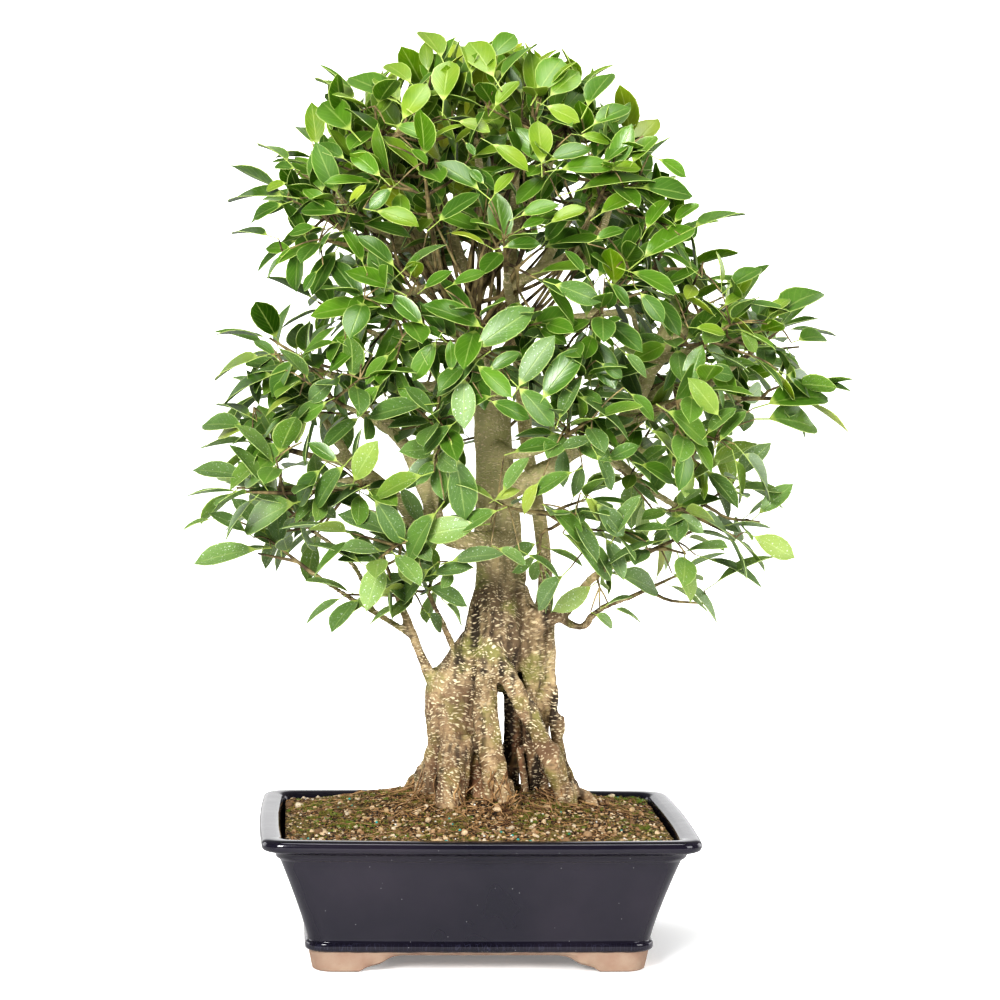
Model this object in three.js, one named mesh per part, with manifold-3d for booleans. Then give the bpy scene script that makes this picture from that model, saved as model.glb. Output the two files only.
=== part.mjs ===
// A ficus bonsai about 88 cm tall that stands in a glazed rectangular pot.
// Sizes are in millimetres, +Z is up, and the long front of the pot faces -Y.
// Everything is laid out round the middle of the pot's foot, and the group is then moved
// so that the middle of the whole object's footprint box is the origin.

import * as THREE from 'three';
import { mergeVertices } from 'three/addons/utils/BufferGeometryUtils.js';
import Module from 'manifold-3d';

const wasm = await Module();
wasm.setup();

// Driving dimensions of the pot
const POT_LENGTH = 406; // over the lip
const POT_DEPTH = 307;
const POT_HEIGHT = 127;
const LIP_WIDTH = 20; // from the lip's outer edge to the opening
const LIP_HEIGHT = 11;
const WALL_TOP = { length: 379, depth: 281 }; // outside, in the cove under the lip
const WALL_FOOT = { length: 320, depth: 250 }; // outside, just above the bead
const BEAD_BOTTOM = 19.5; // the glaze ends here and bare clay begins
const BEAD_TOP = 28;
const BEAD_PROUD = 2;
const PANEL_TOP = 107; // the step line under the cove
const FLOOR_TOP = 30;
const RECESS_HEIGHT = 17.5; // underside of the floor
const INNER_FLOOR = { length: 300, depth: 222 };
const FOOT_WALL = 13; // thickness of the clay foot
const ARCH_HEIGHT = 15.5;
const FOOT_FLAT = 44; // length of each foot's standing face, along both sides
const OGEE_LENGTH = 41; // the curve from a foot's standing face up to the arch
const SIDE_BOW = 5; // how far the long sides bulge between the corners
const DRAIN_DIAMETER = 22;
const DRAIN_OFFSET = 76; // each drain hole's distance from the middle

// Driving dimensions of the soil and of the screens over the drain holes
const SOIL_EDGE = 121.5; // height of the soil where it meets the pot
const SOIL_RISE = 29; // how much higher it is at the trunk
const SOIL_SPREAD = { x: 170, y: 110 }; // half widths of the mound
const SOIL_PEAK = { x: 5, y: 40 };
const SCREEN_SIZE = 44;
const SCREEN_THICK = 1.4;
const SCREEN_BAR = 4;

// Driving dimensions of the tree
const FIT_GAP = 0.35; // between pieces that touch
const TWIG_RADIUS = 1.7;
const SHOOT_LENGTH = 56; // the leafy end of each branch
const YOUNG_LIFT = 0.35; // how much the young shoots at the top turn upwards
const OLD_LIFT = 0.1;
const OLD_DROOP = 0.2; // how much the older leaves hang
const LEAVES_PER_SHOOT = 4;
const SIDE_START = 0.22; // where a side shoot forks off, as a share of its lead shoot
const SIDE_LENGTH = 52;
const SIDE_LEAN = 1.15; // away from the lead shoot
const SIDE_TRIES = 9; // directions round the lead shoot
const SIDE_APART = 42; // from its tip to the tip of any other shoot
const LEAVES_PER_SIDE = 3;
const LEAF_STEP = 0.15; // between leaves, as a share of the shoot's length
const LEAF_TURNS = [0, 0.5, -0.5, 1, -1, 1.6, -1.6]; // tried in turn to clear other sprays
const LEAF_LENGTH = 54; // with its stalk
const LEAF_WIDTH = 0.47; // as a share of its length
const LEAF_KEEL = 1.2; // thickness at the midrib; the margins are thin
const LEAF_CLEAR = 0.6; // to the leaves and twigs of other shoots
const LEAF_SMOOTH = 0.15; // corners flatter than this are dropped from a finished spray
const GOLDEN_ANGLE = 2.39996;
const SEED = 4242;

const UP = new THREE.Vector3(0, 0, 1);
const CROWN_MIDDLE = new THREE.Vector3(20, 25, 590);

const CLAY_GLAZE = new THREE.MeshStandardMaterial({ color: 0x2a2c40, roughness: 0.2, metalness: 0 });
const SOIL_BROWN = new THREE.MeshStandardMaterial({ color: 0x6b5138, roughness: 0.95, metalness: 0 });
const SCREEN_BLACK = new THREE.MeshStandardMaterial({ color: 0x23262a, roughness: 0.6, metalness: 0 });
const BARK = new THREE.MeshStandardMaterial({ color: 0x9b8b66, roughness: 0.85, metalness: 0 });
const LEAF_LIGHT = new THREE.MeshStandardMaterial({ color: 0x8fae48, roughness: 0.4, metalness: 0 });
const LEAF_DARK = new THREE.MeshStandardMaterial({ color: 0x4a7f2e, roughness: 0.4, metalness: 0 });

const group = new THREE.Group();

// Repeatable random numbers between 0 and 1
function seededRandom(seed) {
  let state = seed >>> 0;
  return () => {
    state = (state + 0x6d2b79f5) >>> 0;
    let mixed = Math.imul(state ^ (state >>> 15), 1 | state);
    mixed = (mixed + Math.imul(mixed ^ (mixed >>> 7), 61 | mixed)) ^ mixed;
    return ((mixed ^ (mixed >>> 14)) >>> 0) / 4294967296;
  };
}

// Keep only the corners of a geometry, each of them once
function bareGeometry(geometry) {
  geometry.deleteAttribute('normal');
  geometry.deleteAttribute('uv');
  return mergeVertices(geometry);
}

function toSolid(geometry) {
  return new wasm.Manifold(new wasm.Mesh({
    numProp: 3,
    vertProperties: new Float32Array(geometry.attributes.position.array),
    triVerts: new Uint32Array(geometry.index.array),
  }));
}

// The main body of a solid, without loose scraps and sealed hollows
function mainBody(solid) {
  const bodies = solid.decompose();
  bodies.sort((first, second) => second.volume() - first.volume());
  return bodies[0];
}

function addPiece(name, solid, material) {
  const mesh = solid.getMesh();
  const geometry = new THREE.BufferGeometry();
  geometry.setAttribute('position', new THREE.BufferAttribute(mesh.vertProperties, 3));
  geometry.setIndex(new THREE.BufferAttribute(mesh.triVerts, 1));
  geometry.computeVertexNormals();
  const piece = new THREE.Mesh(geometry, material);
  piece.name = name;
  group.add(piece);
}

// The pot's outline at one height: round corners, and sides that bow gently outwards
const CORNER_STEPS = 3;
const SIDE_STEPS = 3;
const OUTLINE_POINTS = 4 * (CORNER_STEPS + SIDE_STEPS);

function potOutline(halfLength, halfDepth, radius, bow) {
  const corners = [[1, 1], [-1, 1], [-1, -1], [1, -1]];
  const points = [];
  corners.forEach(([sideX, sideY], quarter) => {
    for (let step = 0; step <= CORNER_STEPS; step += 1) {
      const angle = (quarter + step / CORNER_STEPS) * Math.PI / 2;
      points.push(new THREE.Vector2(
        sideX * (halfLength - radius) + radius * Math.cos(angle),
        sideY * (halfDepth - radius) + radius * Math.sin(angle),
      ));
    }
    const start = points[points.length - 1];
    const alongLength = quarter % 2 === 0;
    const run = alongLength ? halfLength - radius : halfDepth - radius;
    const bulge = alongLength ? bow : bow * 0.6;
    for (let step = 1; step < SIDE_STEPS; step += 1) {
      const part = step / SIDE_STEPS;
      const proud = bulge * 4 * part * (1 - part);
      points.push(alongLength
        ? new THREE.Vector2(start.x - sideX * 2 * run * part, start.y + sideY * proud)
        : new THREE.Vector2(start.x + sideX * proud, start.y - sideY * 2 * run * part));
    }
  });
  return points;
}

// A closed solid through rings of the pot's outline; the first and last ring are capped.
// Each ring has a half length, half depth, corner radius, bow and either a height or a
// function that gives the height at each place.
function ringSolid(rings) {
  const geometry = bareGeometry(
    new THREE.CylinderGeometry(1, 1, rings.length - 1, OUTLINE_POINTS, rings.length - 1),
  );
  const outlines = rings.map((ring) => potOutline(ring.length, ring.depth, ring.radius, ring.bow));
  const position = geometry.attributes.position;
  const heightOf = (ring, x, y) => (typeof ring.z === 'function' ? ring.z(x, y) : ring.z);
  for (let i = 0; i < position.count; i += 1) {
    const row = Math.round(position.getY(i) + (rings.length - 1) / 2);
    const ring = rings[row];
    const middle = Math.hypot(position.getX(i), position.getZ(i)) < 0.5;
    const turn = Math.atan2(position.getX(i), position.getZ(i)) / (2 * Math.PI);
    const index = Math.round((turn + 1) * OUTLINE_POINTS) % OUTLINE_POINTS;
    const place = middle ? new THREE.Vector2(0, 0) : outlines[row][index];
    position.setXYZ(i, place.x, place.y, heightOf(ring, place.x, place.y));
  }
  return toSolid(geometry);
}

function ring(length, depth, radius, bow, z) {
  return { length: length / 2, depth: depth / 2, radius, bow, z };
}

// An arch between two feet: flat on top, with an ogee down to each foot
function archSolid(halfLength, throughLength) {
  const reach = halfLength - FOOT_FLAT;
  const top = reach - OGEE_LENGTH;
  const shape = new THREE.Shape();
  shape.moveTo(-reach - 2, -2);
  shape.lineTo(reach + 2, -2);
  shape.bezierCurveTo(reach - 14, 9, top + 26, 7, top + 18, 11);
  shape.quadraticCurveTo(top + 12, ARCH_HEIGHT, top, ARCH_HEIGHT);
  shape.lineTo(-top, ARCH_HEIGHT);
  shape.quadraticCurveTo(-top - 12, ARCH_HEIGHT, -top - 18, 11);
  shape.bezierCurveTo(-top - 26, 7, -reach + 14, 9, -reach - 2, -2);
  const geometry = new THREE.ExtrudeGeometry(shape, {
    depth: throughLength, bevelEnabled: false, curveSegments: 5,
  });
  geometry.translate(0, 0, -throughLength / 2);
  geometry.rotateX(Math.PI / 2);
  return geometry;
}

function buildPot() {
  const halfRing = (grow, z, radius) => ring(
    WALL_FOOT.length - 2 + grow,
    WALL_FOOT.depth - 2 + grow,
    radius,
    1,
    z,
  );
  const wallAt = (part, dip) => ring(
    WALL_FOOT.length + (WALL_TOP.length - WALL_FOOT.length) * part - dip,
    WALL_FOOT.depth + (WALL_TOP.depth - WALL_FOOT.depth) * part - dip,
    21,
    2 + 2 * part,
    BEAD_TOP + (PANEL_TOP - BEAD_TOP) * part,
  );
  const lip = (inset, z) => ring(
    POT_LENGTH - 2 * inset,
    POT_DEPTH - 2 * inset,
    20 - inset * 0.3,
    SIDE_BOW,
    z,
  );
  const body = ringSolid([
    halfRing(-2 * FOOT_WALL - 8, RECESS_HEIGHT, 12),
    halfRing(-2 * FOOT_WALL - 14, 0, 12),
    halfRing(-10, 0, 19),
    halfRing(-6, 2, 20),
    halfRing(0, BEAD_BOTTOM, 21),
    halfRing(2 + 2 * BEAD_PROUD, BEAD_BOTTOM + 1.5, 21),
    halfRing(2 + 2 * BEAD_PROUD, BEAD_TOP - 1.5, 21),
    wallAt(0, 0),
    wallAt(0.35, 6),
    wallAt(0.7, 6),
    wallAt(1, 6),
    wallAt(1.02, 1),
    lip(12, POT_HEIGHT - LIP_HEIGHT - 3),
    lip(3, POT_HEIGHT - LIP_HEIGHT),
    lip(0, POT_HEIGHT - LIP_HEIGHT + 3),
    lip(0, POT_HEIGHT - 4),
    lip(2.5, POT_HEIGHT - 0.8),
    lip(6, POT_HEIGHT),
    lip(LIP_WIDTH - 4, POT_HEIGHT - 0.8),
    lip(LIP_WIDTH, POT_HEIGHT - 4),
    lip(LIP_WIDTH + 1, POT_HEIGHT - 10),
    ring(INNER_FLOOR.length, INNER_FLOOR.depth, 14, 0, FLOOR_TOP),
  ]);
  const frontArch = archSolid(WALL_FOOT.length / 2 - 5, POT_DEPTH);
  const sideArch = archSolid(WALL_FOOT.depth / 2 - 5, POT_LENGTH);
  sideArch.rotateZ(Math.PI / 2);
  let pot = body.subtract(toSolid(bareGeometry(frontArch)));
  pot = pot.subtract(toSolid(bareGeometry(sideArch)));
  [-DRAIN_OFFSET, DRAIN_OFFSET].forEach((offset) => {
    const hole = new THREE.CylinderGeometry(DRAIN_DIAMETER / 2, DRAIN_DIAMETER / 2, 3 * FLOOR_TOP, 12);
    hole.rotateX(Math.PI / 2);
    hole.translate(offset, 0, 0);
    pot = pot.subtract(toSolid(bareGeometry(hole)));
  });
  addPiece('pot', pot, CLAY_GLAZE);
}

// A square plastic screen with four slots, lying on the pot's floor over a drain hole
function buildScreen(name, offset) {
  const middle = FLOOR_TOP + FIT_GAP + SCREEN_THICK / 2;
  const plate = new THREE.BoxGeometry(SCREEN_SIZE, SCREEN_SIZE, SCREEN_THICK);
  plate.translate(offset, 0, middle);
  let screen = toSolid(bareGeometry(plate));
  const slotWidth = (SCREEN_SIZE - 5 * SCREEN_BAR) / 4;
  const slotLength = SCREEN_SIZE - 2 * SCREEN_BAR;
  for (let i = 0; i < 4; i += 1) {
    const slot = new THREE.BoxGeometry(slotWidth, slotLength, 3 * SCREEN_THICK);
    slot.translate(offset + (i - 1.5) * (slotWidth + SCREEN_BAR), 0, middle);
    screen = screen.subtract(toSolid(bareGeometry(slot)));
  }
  addPiece(name, screen, SCREEN_BLACK);
}

// A tapered stem through points [x, y, z, radius], closed at both ends
function stemSolid(points, { sides, steps, grow = 0 }) {
  const places = points.map(([x, y, z]) => new THREE.Vector3(x, y, z));
  if (grow > 0) {
    const last = places.length - 1;
    const onward = places[last].clone().sub(places[last - 1]).normalize();
    places[last].addScaledVector(onward, 2 * grow);
  }
  const curve = new THREE.CatmullRomCurve3(places, false, 'centripetal');
  const frames = curve.computeFrenetFrames(steps, false);
  const geometry = bareGeometry(new THREE.CylinderGeometry(1, 1, steps, sides, steps));
  const position = geometry.attributes.position;
  for (let i = 0; i < position.count; i += 1) {
    const row = Math.round(position.getY(i) + steps / 2);
    const along = row / steps;
    const at = along * (points.length - 1);
    const first = Math.min(Math.floor(at), points.length - 2);
    const radius = THREE.MathUtils.lerp(points[first][3], points[first + 1][3], at - first) + grow;
    const place = curve.getPoint(along);
    place.addScaledVector(frames.normals[row], position.getZ(i) * radius);
    place.addScaledVector(frames.binormals[row], position.getX(i) * radius);
    position.setXYZ(i, place.x, place.y, place.z);
  }
  return toSolid(geometry);
}

// The trunk, from the top of the aerial roots to where it forks
const TRUNK = [
  [19, 28, 246, 17], [20, 25, 272, 25], [22, 22, 305, 25.5], [22, 20, 345, 23], [20, 18, 385, 20.5],
  [17, 17, 430, 18], [15, 18, 475, 17.5], [12, 20, 510, 17], [3, 22, 548, 15.5], [-6, 24, 584, 13],
  [-14, 26, 614, 10],
];

// Aerial roots, each from the trunk down into the soil
const ROOTS = [
  // the swollen left flare
  [[6, 20, 305, 12], [-8, 18, 276, 19], [-21, 18, 240, 26], [-22, 20, 208, 25],
    [-22, 24, 180, 21], [-36, 34, 158, 17], [-52, 44, 138, 13], [-66, 52, 112, 9]],
  // its front foot
  [[-16, 6, 200, 18], [-22, -8, 168, 15], [-26, -22, 138, 12], [-30, -34, 104, 8]],
  // the strand that climbs the left side of the trunk
  [[6, 12, 350, 6], [-2, 8, 318, 7], [-8, 7, 288, 8], [-18, 9, 258, 8]],
  // the central root
  [[14, 12, 330, 10], [9, 4, 278, 12], [10, -2, 232, 11.5], [14, -4, 192, 10.5],
    [21, -6, 160, 11], [25, -8, 136, 10.5], [28, -10, 104, 8]],
  // the pale diagonal root and its forked foot
  [[12, 4, 296, 9], [28, -2, 264, 9], [42, -4, 243, 8], [57, -6, 219, 7.5], [69, -6, 192, 7],
    [81, -4, 165, 7], [91, -2, 144, 7.5], [98, 0, 106, 5]],
  [[84, -2, 160, 5.5], [98, 6, 149, 5.5], [112, 12, 140, 5.5], [124, 18, 108, 4]],
  // the right column of fused roots
  [[42, 24, 344, 8], [55, 22, 304, 10], [58, 22, 266, 9.5], [54, 26, 235, 7], [55, 30, 200, 5],
    [57, 34, 160, 5], [58, 38, 106, 4]],
  [[62, 32, 326, 7], [70, 28, 292, 8.5], [70, 28, 256, 8.5], [65, 32, 226, 6], [65, 40, 190, 5],
    [68, 46, 155, 5], [70, 50, 106, 4]],
  [[72, 26, 268, 5], [76, 24, 238, 4], [80, 22, 212, 3.6], [86, 20, 182, 3.8], [95, 20, 154, 4.5],
    [102, 22, 108, 3.5]],
  // the thin root inside the gap
  [[28, 34, 264, 7], [32, 40, 236, 3.4], [33, 42, 205, 3], [34, 44, 165, 3.5], [35, 46, 110, 3]],
  // the roots at the back
  [[10, 40, 284, 17], [0, 54, 232, 15], [-8, 64, 185, 13], [-14, 76, 150, 11], [-20, 90, 108, 8]],
  [[34, 44, 280, 15], [52, 58, 232, 11], [58, 70, 185, 9], [62, 82, 148, 9], [66, 96, 106, 6.5]],
];

// Branches inside the crown that carry no shoot at their end
const BARE_BRANCHES = [
  // the second stem behind the trunk, and the bridge to it
  [[62, 30, 305, 9], [68, 44, 335, 7], [68, 54, 372, 7], [62, 60, 420, 6.5], [52, 62, 470, 6.5],
    [46, 60, 520, 7], [42, 54, 560, 7.5], [36, 46, 596, 7], [31, 41, 638, 6.5]],
  [[38, 16, 324, 5], [58, 12, 322, 3.8], [76, 10, 319, 4.2]],
  // the left leader
  [[-12, 26, 604, 10.5], [-30, 26, 634, 8.5], [-48, 24, 660, 7.5], [-64, 24, 686, 6.5]],
  // the thick right branch and its cut stubs
  [[22, 14, 434, 10], [52, 4, 452, 9], [82, 2, 472, 8.5], [112, 6, 490, 8], [140, 12, 508, 7.5],
    [156, 16, 534, 7.5], [166, 18, 560, 7], [178, 20, 592, 6], [187, 20, 620, 5]],
  [[164, 18, 552, 6], [186, 14, 582, 5], [206, 10, 610, 4.5]],
  // the thin level branch with its cut end
  [[38, 46, 598, 5], [72, 30, 603, 4], [108, 18, 608, 3.6], [146, 10, 613, 3.2]],
  [[145, 10, 615, 3], [150, 6, 592, 2.6], [152, 4, 572, 2.4]],
  // the low right branch with its loop
  [[50, 20, 294, 8], [64, 14, 310, 6.5], [82, 8, 320, 5.5], [97, 4, 337, 4.6]],
  [[80, 10, 317, 4.4], [92, 8, 310, 3.8], [104, 6, 309, 3.6], [111, 5, 320, 3.4]],
  // the thick left branch that crosses the front of the trunk, and its cut stub
  [[32, 10, 392, 9], [6, -8, 392, 10], [-22, -12, 393, 9], [-52, -10, 408, 8], [-80, -2, 432, 7]],
  [[-50, -6, 436, 5], [-46, -12, 452, 4.6], [-41, -16, 460, 4.4]],
];

// Branches that end in a leafy shoot. `light` shoots are the young ones at the top, and `lone`
// ones have no side shoot.
const BRANCHES = [
  // left, from the lowest tier up
  { path: [[-38, 16, 248, 6.5], [-51, 14, 275, 4.6], [-62, 10, 302, 4.2], [-72, 4, 326, 3.6]] },
  { path: [[-64, 8, 300, 3.4], [-92, 4, 318, 2.8], [-126, 2, 338, 2.5], [-160, 4, 360, 2.3]], lone: true },
  { path: [[-100, 3, 322, 2.8], [-110, 8, 352, 2.5], [-128, 14, 376, 2.4], [-158, 20, 398, 2.2]] },
  { path: [[-12, 12, 270, 5.5], [-24, 6, 292, 3.2], [-34, -4, 314, 2.8], [-42, -14, 330, 2.5]], lone: true },
  { path: [[-76, -2, 428, 7], [-104, 6, 452, 6], [-132, 10, 466, 5], [-160, 14, 470, 3.4]] },
  { path: [[-98, 4, 448, 5.5], [-122, 26, 446, 4], [-152, 48, 440, 3.2], [-178, 62, 436, 2.6]] },
  { path: [[-92, 4, 444, 5.5], [-116, -20, 444, 4], [-146, -38, 440, 3.2], [-174, -48, 438, 2.6]] },
  { path: [[-120, 10, 462, 5], [-138, 16, 490, 4.2], [-152, 22, 510, 3.4], [-165, 24, 526, 2.6]] },
  { path: [[-32, -11, 396, 7.5], [-48, -8, 428, 7], [-60, -2, 458, 6.5], [-74, 4, 486, 5.5],
    [-98, 8, 516, 4.6], [-124, 8, 538, 3.6], [-148, 4, 550, 2.8]] },
  { path: [[-66, 2, 474, 5.5], [-84, -26, 494, 4.4], [-108, -56, 510, 3.4], [-132, -80, 522, 2.6]] },
  { path: [[-34, -12, 400, 4.6], [-44, -24, 440, 3.4], [-44, -40, 474, 2.8], [-44, -58, 492, 2.4]] },
  { path: [[-56, -9, 412, 5], [-66, -34, 402, 3.4], [-76, -58, 394, 2.6]] },
  { path: [[-50, -6, 404, 6], [-80, 40, 408, 4.6], [-104, 80, 412, 3.6], [-122, 112, 418, 2.6]] },
  { path: [[-3, 22, 570, 7], [-36, 12, 576, 4.8], [-74, 6, 576, 4], [-106, 6, 590, 2.8]] },
  { path: [[2, 26, 540, 8], [-34, 66, 536, 5.6], [-72, 96, 536, 4.4], [-112, 118, 540, 3.2]] },
  { path: [[-8, 28, 580, 7], [-38, 74, 600, 5], [-66, 108, 624, 4], [-90, 134, 646, 3]] },
  // left crown
  { path: [[-58, 24, 676, 6.5], [-80, 24, 704, 5.5], [-96, 22, 728, 4.4], [-104, 20, 752, 3]],
    light: true },
  { path: [[-50, 24, 662, 5.5], [-80, 20, 678, 4.8], [-106, 16, 692, 4], [-130, 14, 698, 3]] },
  { path: [[-100, 18, 686, 4.2], [-124, 40, 704, 3.6], [-140, 60, 726, 2.8]], light: true },
  { path: [[-66, 22, 670, 4.6], [-92, -14, 668, 3.8], [-116, -44, 668, 3]] },
  { path: [[-38, 24, 646, 5.4], [-44, -10, 662, 4.4], [-50, -44, 684, 3.4], [-54, -66, 704, 2.6]] },
  { path: [[-90, 24, 718, 4.4], [-96, -6, 736, 3.4], [-100, -34, 756, 2.6]], light: true },
  { path: [[-68, 26, 692, 4.8], [-74, 62, 712, 4], [-80, 96, 730, 3]], light: true },
  // top
  { path: [[-10, 28, 606, 8], [2, 30, 640, 7], [4, 30, 686, 6], [0, 28, 730, 4.8], [-6, 26, 776, 3]],
    light: true },
  { path: [[-4, 30, 626, 6], [-22, 24, 670, 5], [-36, 14, 714, 4], [-44, 4, 752, 2.8]], light: true },
  { path: [[29, 38, 664, 5], [44, 34, 704, 4.5], [60, 30, 738, 4], [72, 26, 768, 2.8]], light: true },
  { path: [[4, 30, 700, 5], [22, 4, 726, 4.2], [34, -22, 750, 3.4], [40, -44, 770, 2.6]],
    light: true },
  { path: [[6, 32, 680, 5.4], [12, 66, 714, 4.4], [14, 96, 744, 3.2]], light: true },
  { path: [[30, 42, 636, 6.5], [32, 40, 690, 5.4], [34, 50, 736, 4.2], [36, 60, 776, 2.8]],
    light: true },
  // right crown
  { path: [[28, 42, 632, 6.8], [54, 36, 648, 6], [84, 30, 662, 5.5], [112, 26, 684, 4.6],
    [126, 24, 716, 2.9]], light: true },
  { path: [[88, 30, 664, 4.8], [120, 32, 654, 4], [156, 32, 652, 3]] },
  { path: [[84, 26, 660, 5], [90, -8, 676, 4.2], [96, -40, 694, 3.4], [102, -66, 710, 2.6]] },
  { path: [[60, 38, 652, 5.4], [74, 74, 672, 4.6], [88, 106, 692, 3.6], [100, 130, 712, 2.6]] },
  { path: [[34, 44, 612, 6], [28, 4, 622, 5], [22, -36, 636, 4], [18, -72, 650, 2.8]] },
  { path: [[42, 54, 556, 7], [72, 86, 578, 5.4], [104, 116, 600, 4.2], [132, 138, 620, 3]] },
  // right tiers
  { path: [[170, 18, 570, 5.6], [190, 34, 580, 4.4], [208, 44, 592, 3.4]] },
  { path: [[146, 14, 514, 5.6], [176, 16, 520, 5], [212, 22, 536, 4.2], [250, 28, 562, 2.8]] },
  { path: [[206, 20, 534, 4.2], [230, 12, 532, 3.4], [254, 6, 530, 2.6]], lone: true },
  { path: [[170, 18, 566, 5], [188, -16, 572, 4], [204, -46, 582, 2.9]] },
  { path: [[138, 10, 506, 5.6], [156, -26, 514, 4.4], [174, -58, 524, 3]] },
  { path: [[150, 14, 520, 5.6], [170, 52, 530, 4.4], [190, 88, 542, 3.2]] },
  { path: [[108, 4, 488, 5.4], [136, -6, 466, 4.2], [164, -12, 442, 3.4], [190, -14, 426, 2.7]] },
  { path: [[124, 8, 496, 5.4], [158, 18, 478, 4.4], [190, 26, 466, 3.2]] },
  { path: [[112, 10, 488, 5.4], [128, 46, 470, 4.4], [142, 80, 458, 3.2]] },
  { path: [[96, 4, 334, 4.6], [108, 0, 354, 3.9], [132, -6, 370, 3.2], [162, -10, 382, 2.5]] },
  { path: [[110, 5, 318, 3.4], [124, 10, 328, 3], [148, 16, 336, 2.5]], lone: true },
  // front and back of the middle
  { path: [[14, 10, 480, 8], [32, -32, 476, 5.2], [52, -62, 482, 4.2], [68, -88, 492, 3]] },
  { path: [[2, 18, 556, 8], [2, -32, 562, 5.4], [-4, -66, 572, 4.2], [-8, -98, 584, 3]] },
  { path: [[16, 24, 436, 9], [22, 72, 446, 6.4], [30, 110, 464, 5], [36, 144, 484, 3.2]] },
  { path: [[20, 10, 432, 7], [40, -26, 424, 4.4], [54, -50, 422, 3]] },
  { path: [[80, 28, 604, 4], [88, -8, 602, 3.6], [92, -46, 600, 3.2], [96, -76, 602, 2.6]] },
  { path: [[-32, 26, 636, 6], [-56, -12, 630, 4.4], [-76, -50, 626, 3.4], [-92, -82, 622, 2.6]] },
  { path: [[40, 54, 584, 6], [30, 92, 606, 4.6], [20, 122, 630, 3.6], [12, 146, 650, 2.8]] },
  { path: [[-30, 62, 536, 5], [-40, 98, 552, 4], [-46, 128, 572, 3.4], [-48, 150, 590, 2.7]] },
];

// Thick roots get more facets than thin ones
function rootFacets(points) {
  const isThick = points.some((point) => point[3] > 9);
  return { sides: isThick ? 8 : 5, steps: points.length - 1 };
}

function buildTrunk() {
  let trunk = stemSolid(TRUNK, { sides: 11, steps: TRUNK.length - 1 });
  ROOTS.forEach((points) => {
    trunk = trunk.add(stemSolid(points, rootFacets(points)));
  });
  BARE_BRANCHES.forEach((points) => {
    trunk = trunk.add(stemSolid(points, { sides: 5, steps: points.length - 1 }));
  });
  BRANCHES.forEach(({ path }) => {
    trunk = trunk.add(stemSolid(path, { sides: 4, steps: path.length - 1 }));
  });
  const body = mainBody(trunk);
  addPiece('trunk', body, BARK);
  return body;
}

// The soil fills the pot and rises to a mound, with a plain hole for each root
function soilHeight(x, y) {
  const innerLength = POT_LENGTH / 2 - LIP_WIDTH;
  const innerDepth = POT_DEPTH / 2 - LIP_WIDTH;
  const window = (1 - (x / innerLength) ** 4) * (1 - (y / innerDepth) ** 4);
  const offsetX = (x - SOIL_PEAK.x) / SOIL_SPREAD.x;
  const offsetY = (y - SOIL_PEAK.y) / SOIL_SPREAD.y;
  const swell = Math.exp(-offsetX * offsetX - offsetY * offsetY);
  return SOIL_EDGE + SOIL_RISE * swell * Math.max(window, 0);
}

function buildSoil() {
  const clearance = 4 * FIT_GAP;
  const bottom = FLOOR_TOP + SCREEN_THICK + 2 * FIT_GAP;
  const opening = { length: POT_LENGTH - 2 * LIP_WIDTH, depth: POT_DEPTH - 2 * LIP_WIDTH };
  const top = (part) => ring(
    (opening.length - 2 - clearance) * part,
    (opening.depth - 2 - clearance) * part,
    13 * part,
    0,
    soilHeight,
  );
  let soil = ringSolid([
    ring(INNER_FLOOR.length - clearance, INNER_FLOOR.depth - clearance, 14, 0, bottom),
    ring(opening.length - 2 - clearance, opening.depth - 2 - clearance, 13, 0, POT_HEIGHT - 10),
    top(1),
    top(0.88),
    top(0.7),
    top(0.5),
    top(0.28),
  ]);
  ROOTS.forEach((points) => {
    soil = soil.subtract(stemSolid(points, { ...rootFacets(points), grow: FIT_GAP }));
  });
  addPiece('soil', mainBody(soil), SOIL_BROWN);
}

// One leaf: a stalk that widens to a pointed blade, flat above and with a midrib below, which
// bends down along its length. The sections run from the stalk to the tip: [share of the
// length, share of the width].
const LEAF_SECTIONS = [[0.38, 0.86], [0.74, 0.9]];

function leafSolid({ root, along, normal, length, bend }) {
  const rows = LEAF_SECTIONS.length + 1;
  const geometry = bareGeometry(new THREE.SphereGeometry(1, 3, rows, Math.PI / 6));
  const across = new THREE.Vector3().crossVectors(normal, along);
  const position = geometry.attributes.position;
  for (let i = 0; i < position.count; i += 1) {
    const angle = Math.acos(THREE.MathUtils.clamp(position.getY(i), -1, 1));
    const row = Math.round(angle / Math.PI * rows);
    const [part, wide] = row % rows === 0 ? [row / rows, 0] : LEAF_SECTIONS[row - 1];
    const place = root.clone().addScaledVector(along, part * length);
    place.addScaledVector(normal, -bend * length * part * part);
    if (wide > 0) {
      const edge = Math.round(position.getX(i) / Math.sin(angle)); // -1, 0 or 1
      place.addScaledVector(across, edge * wide * length * LEAF_WIDTH / 2);
      place.addScaledVector(normal, edge === 0 ? -LEAF_KEEL : 0);
    }
    position.setXYZ(i, place.x, place.y, place.z);
  }
  return toSolid(geometry);
}

// Two directions square to a shoot, the first of them level
function shootAxes(along) {
  const level = new THREE.Vector3(along.y, -along.x, 0);
  const side = level.length() < 0.3 ? new THREE.Vector3(1, 0, 0) : level;
  side.addScaledVector(along, -side.dot(along)).normalize();
  return { side, rise: new THREE.Vector3().crossVectors(side, along) };
}

// A direction that leans away from a shoot, turned round it by an angle
function leanFrom({ along, side, rise }, lean, angle) {
  return along.clone().multiplyScalar(Math.cos(lean))
    .addScaledVector(side, Math.sin(lean) * Math.cos(angle))
    .addScaledVector(rise, Math.sin(lean) * Math.sin(angle));
}

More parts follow.
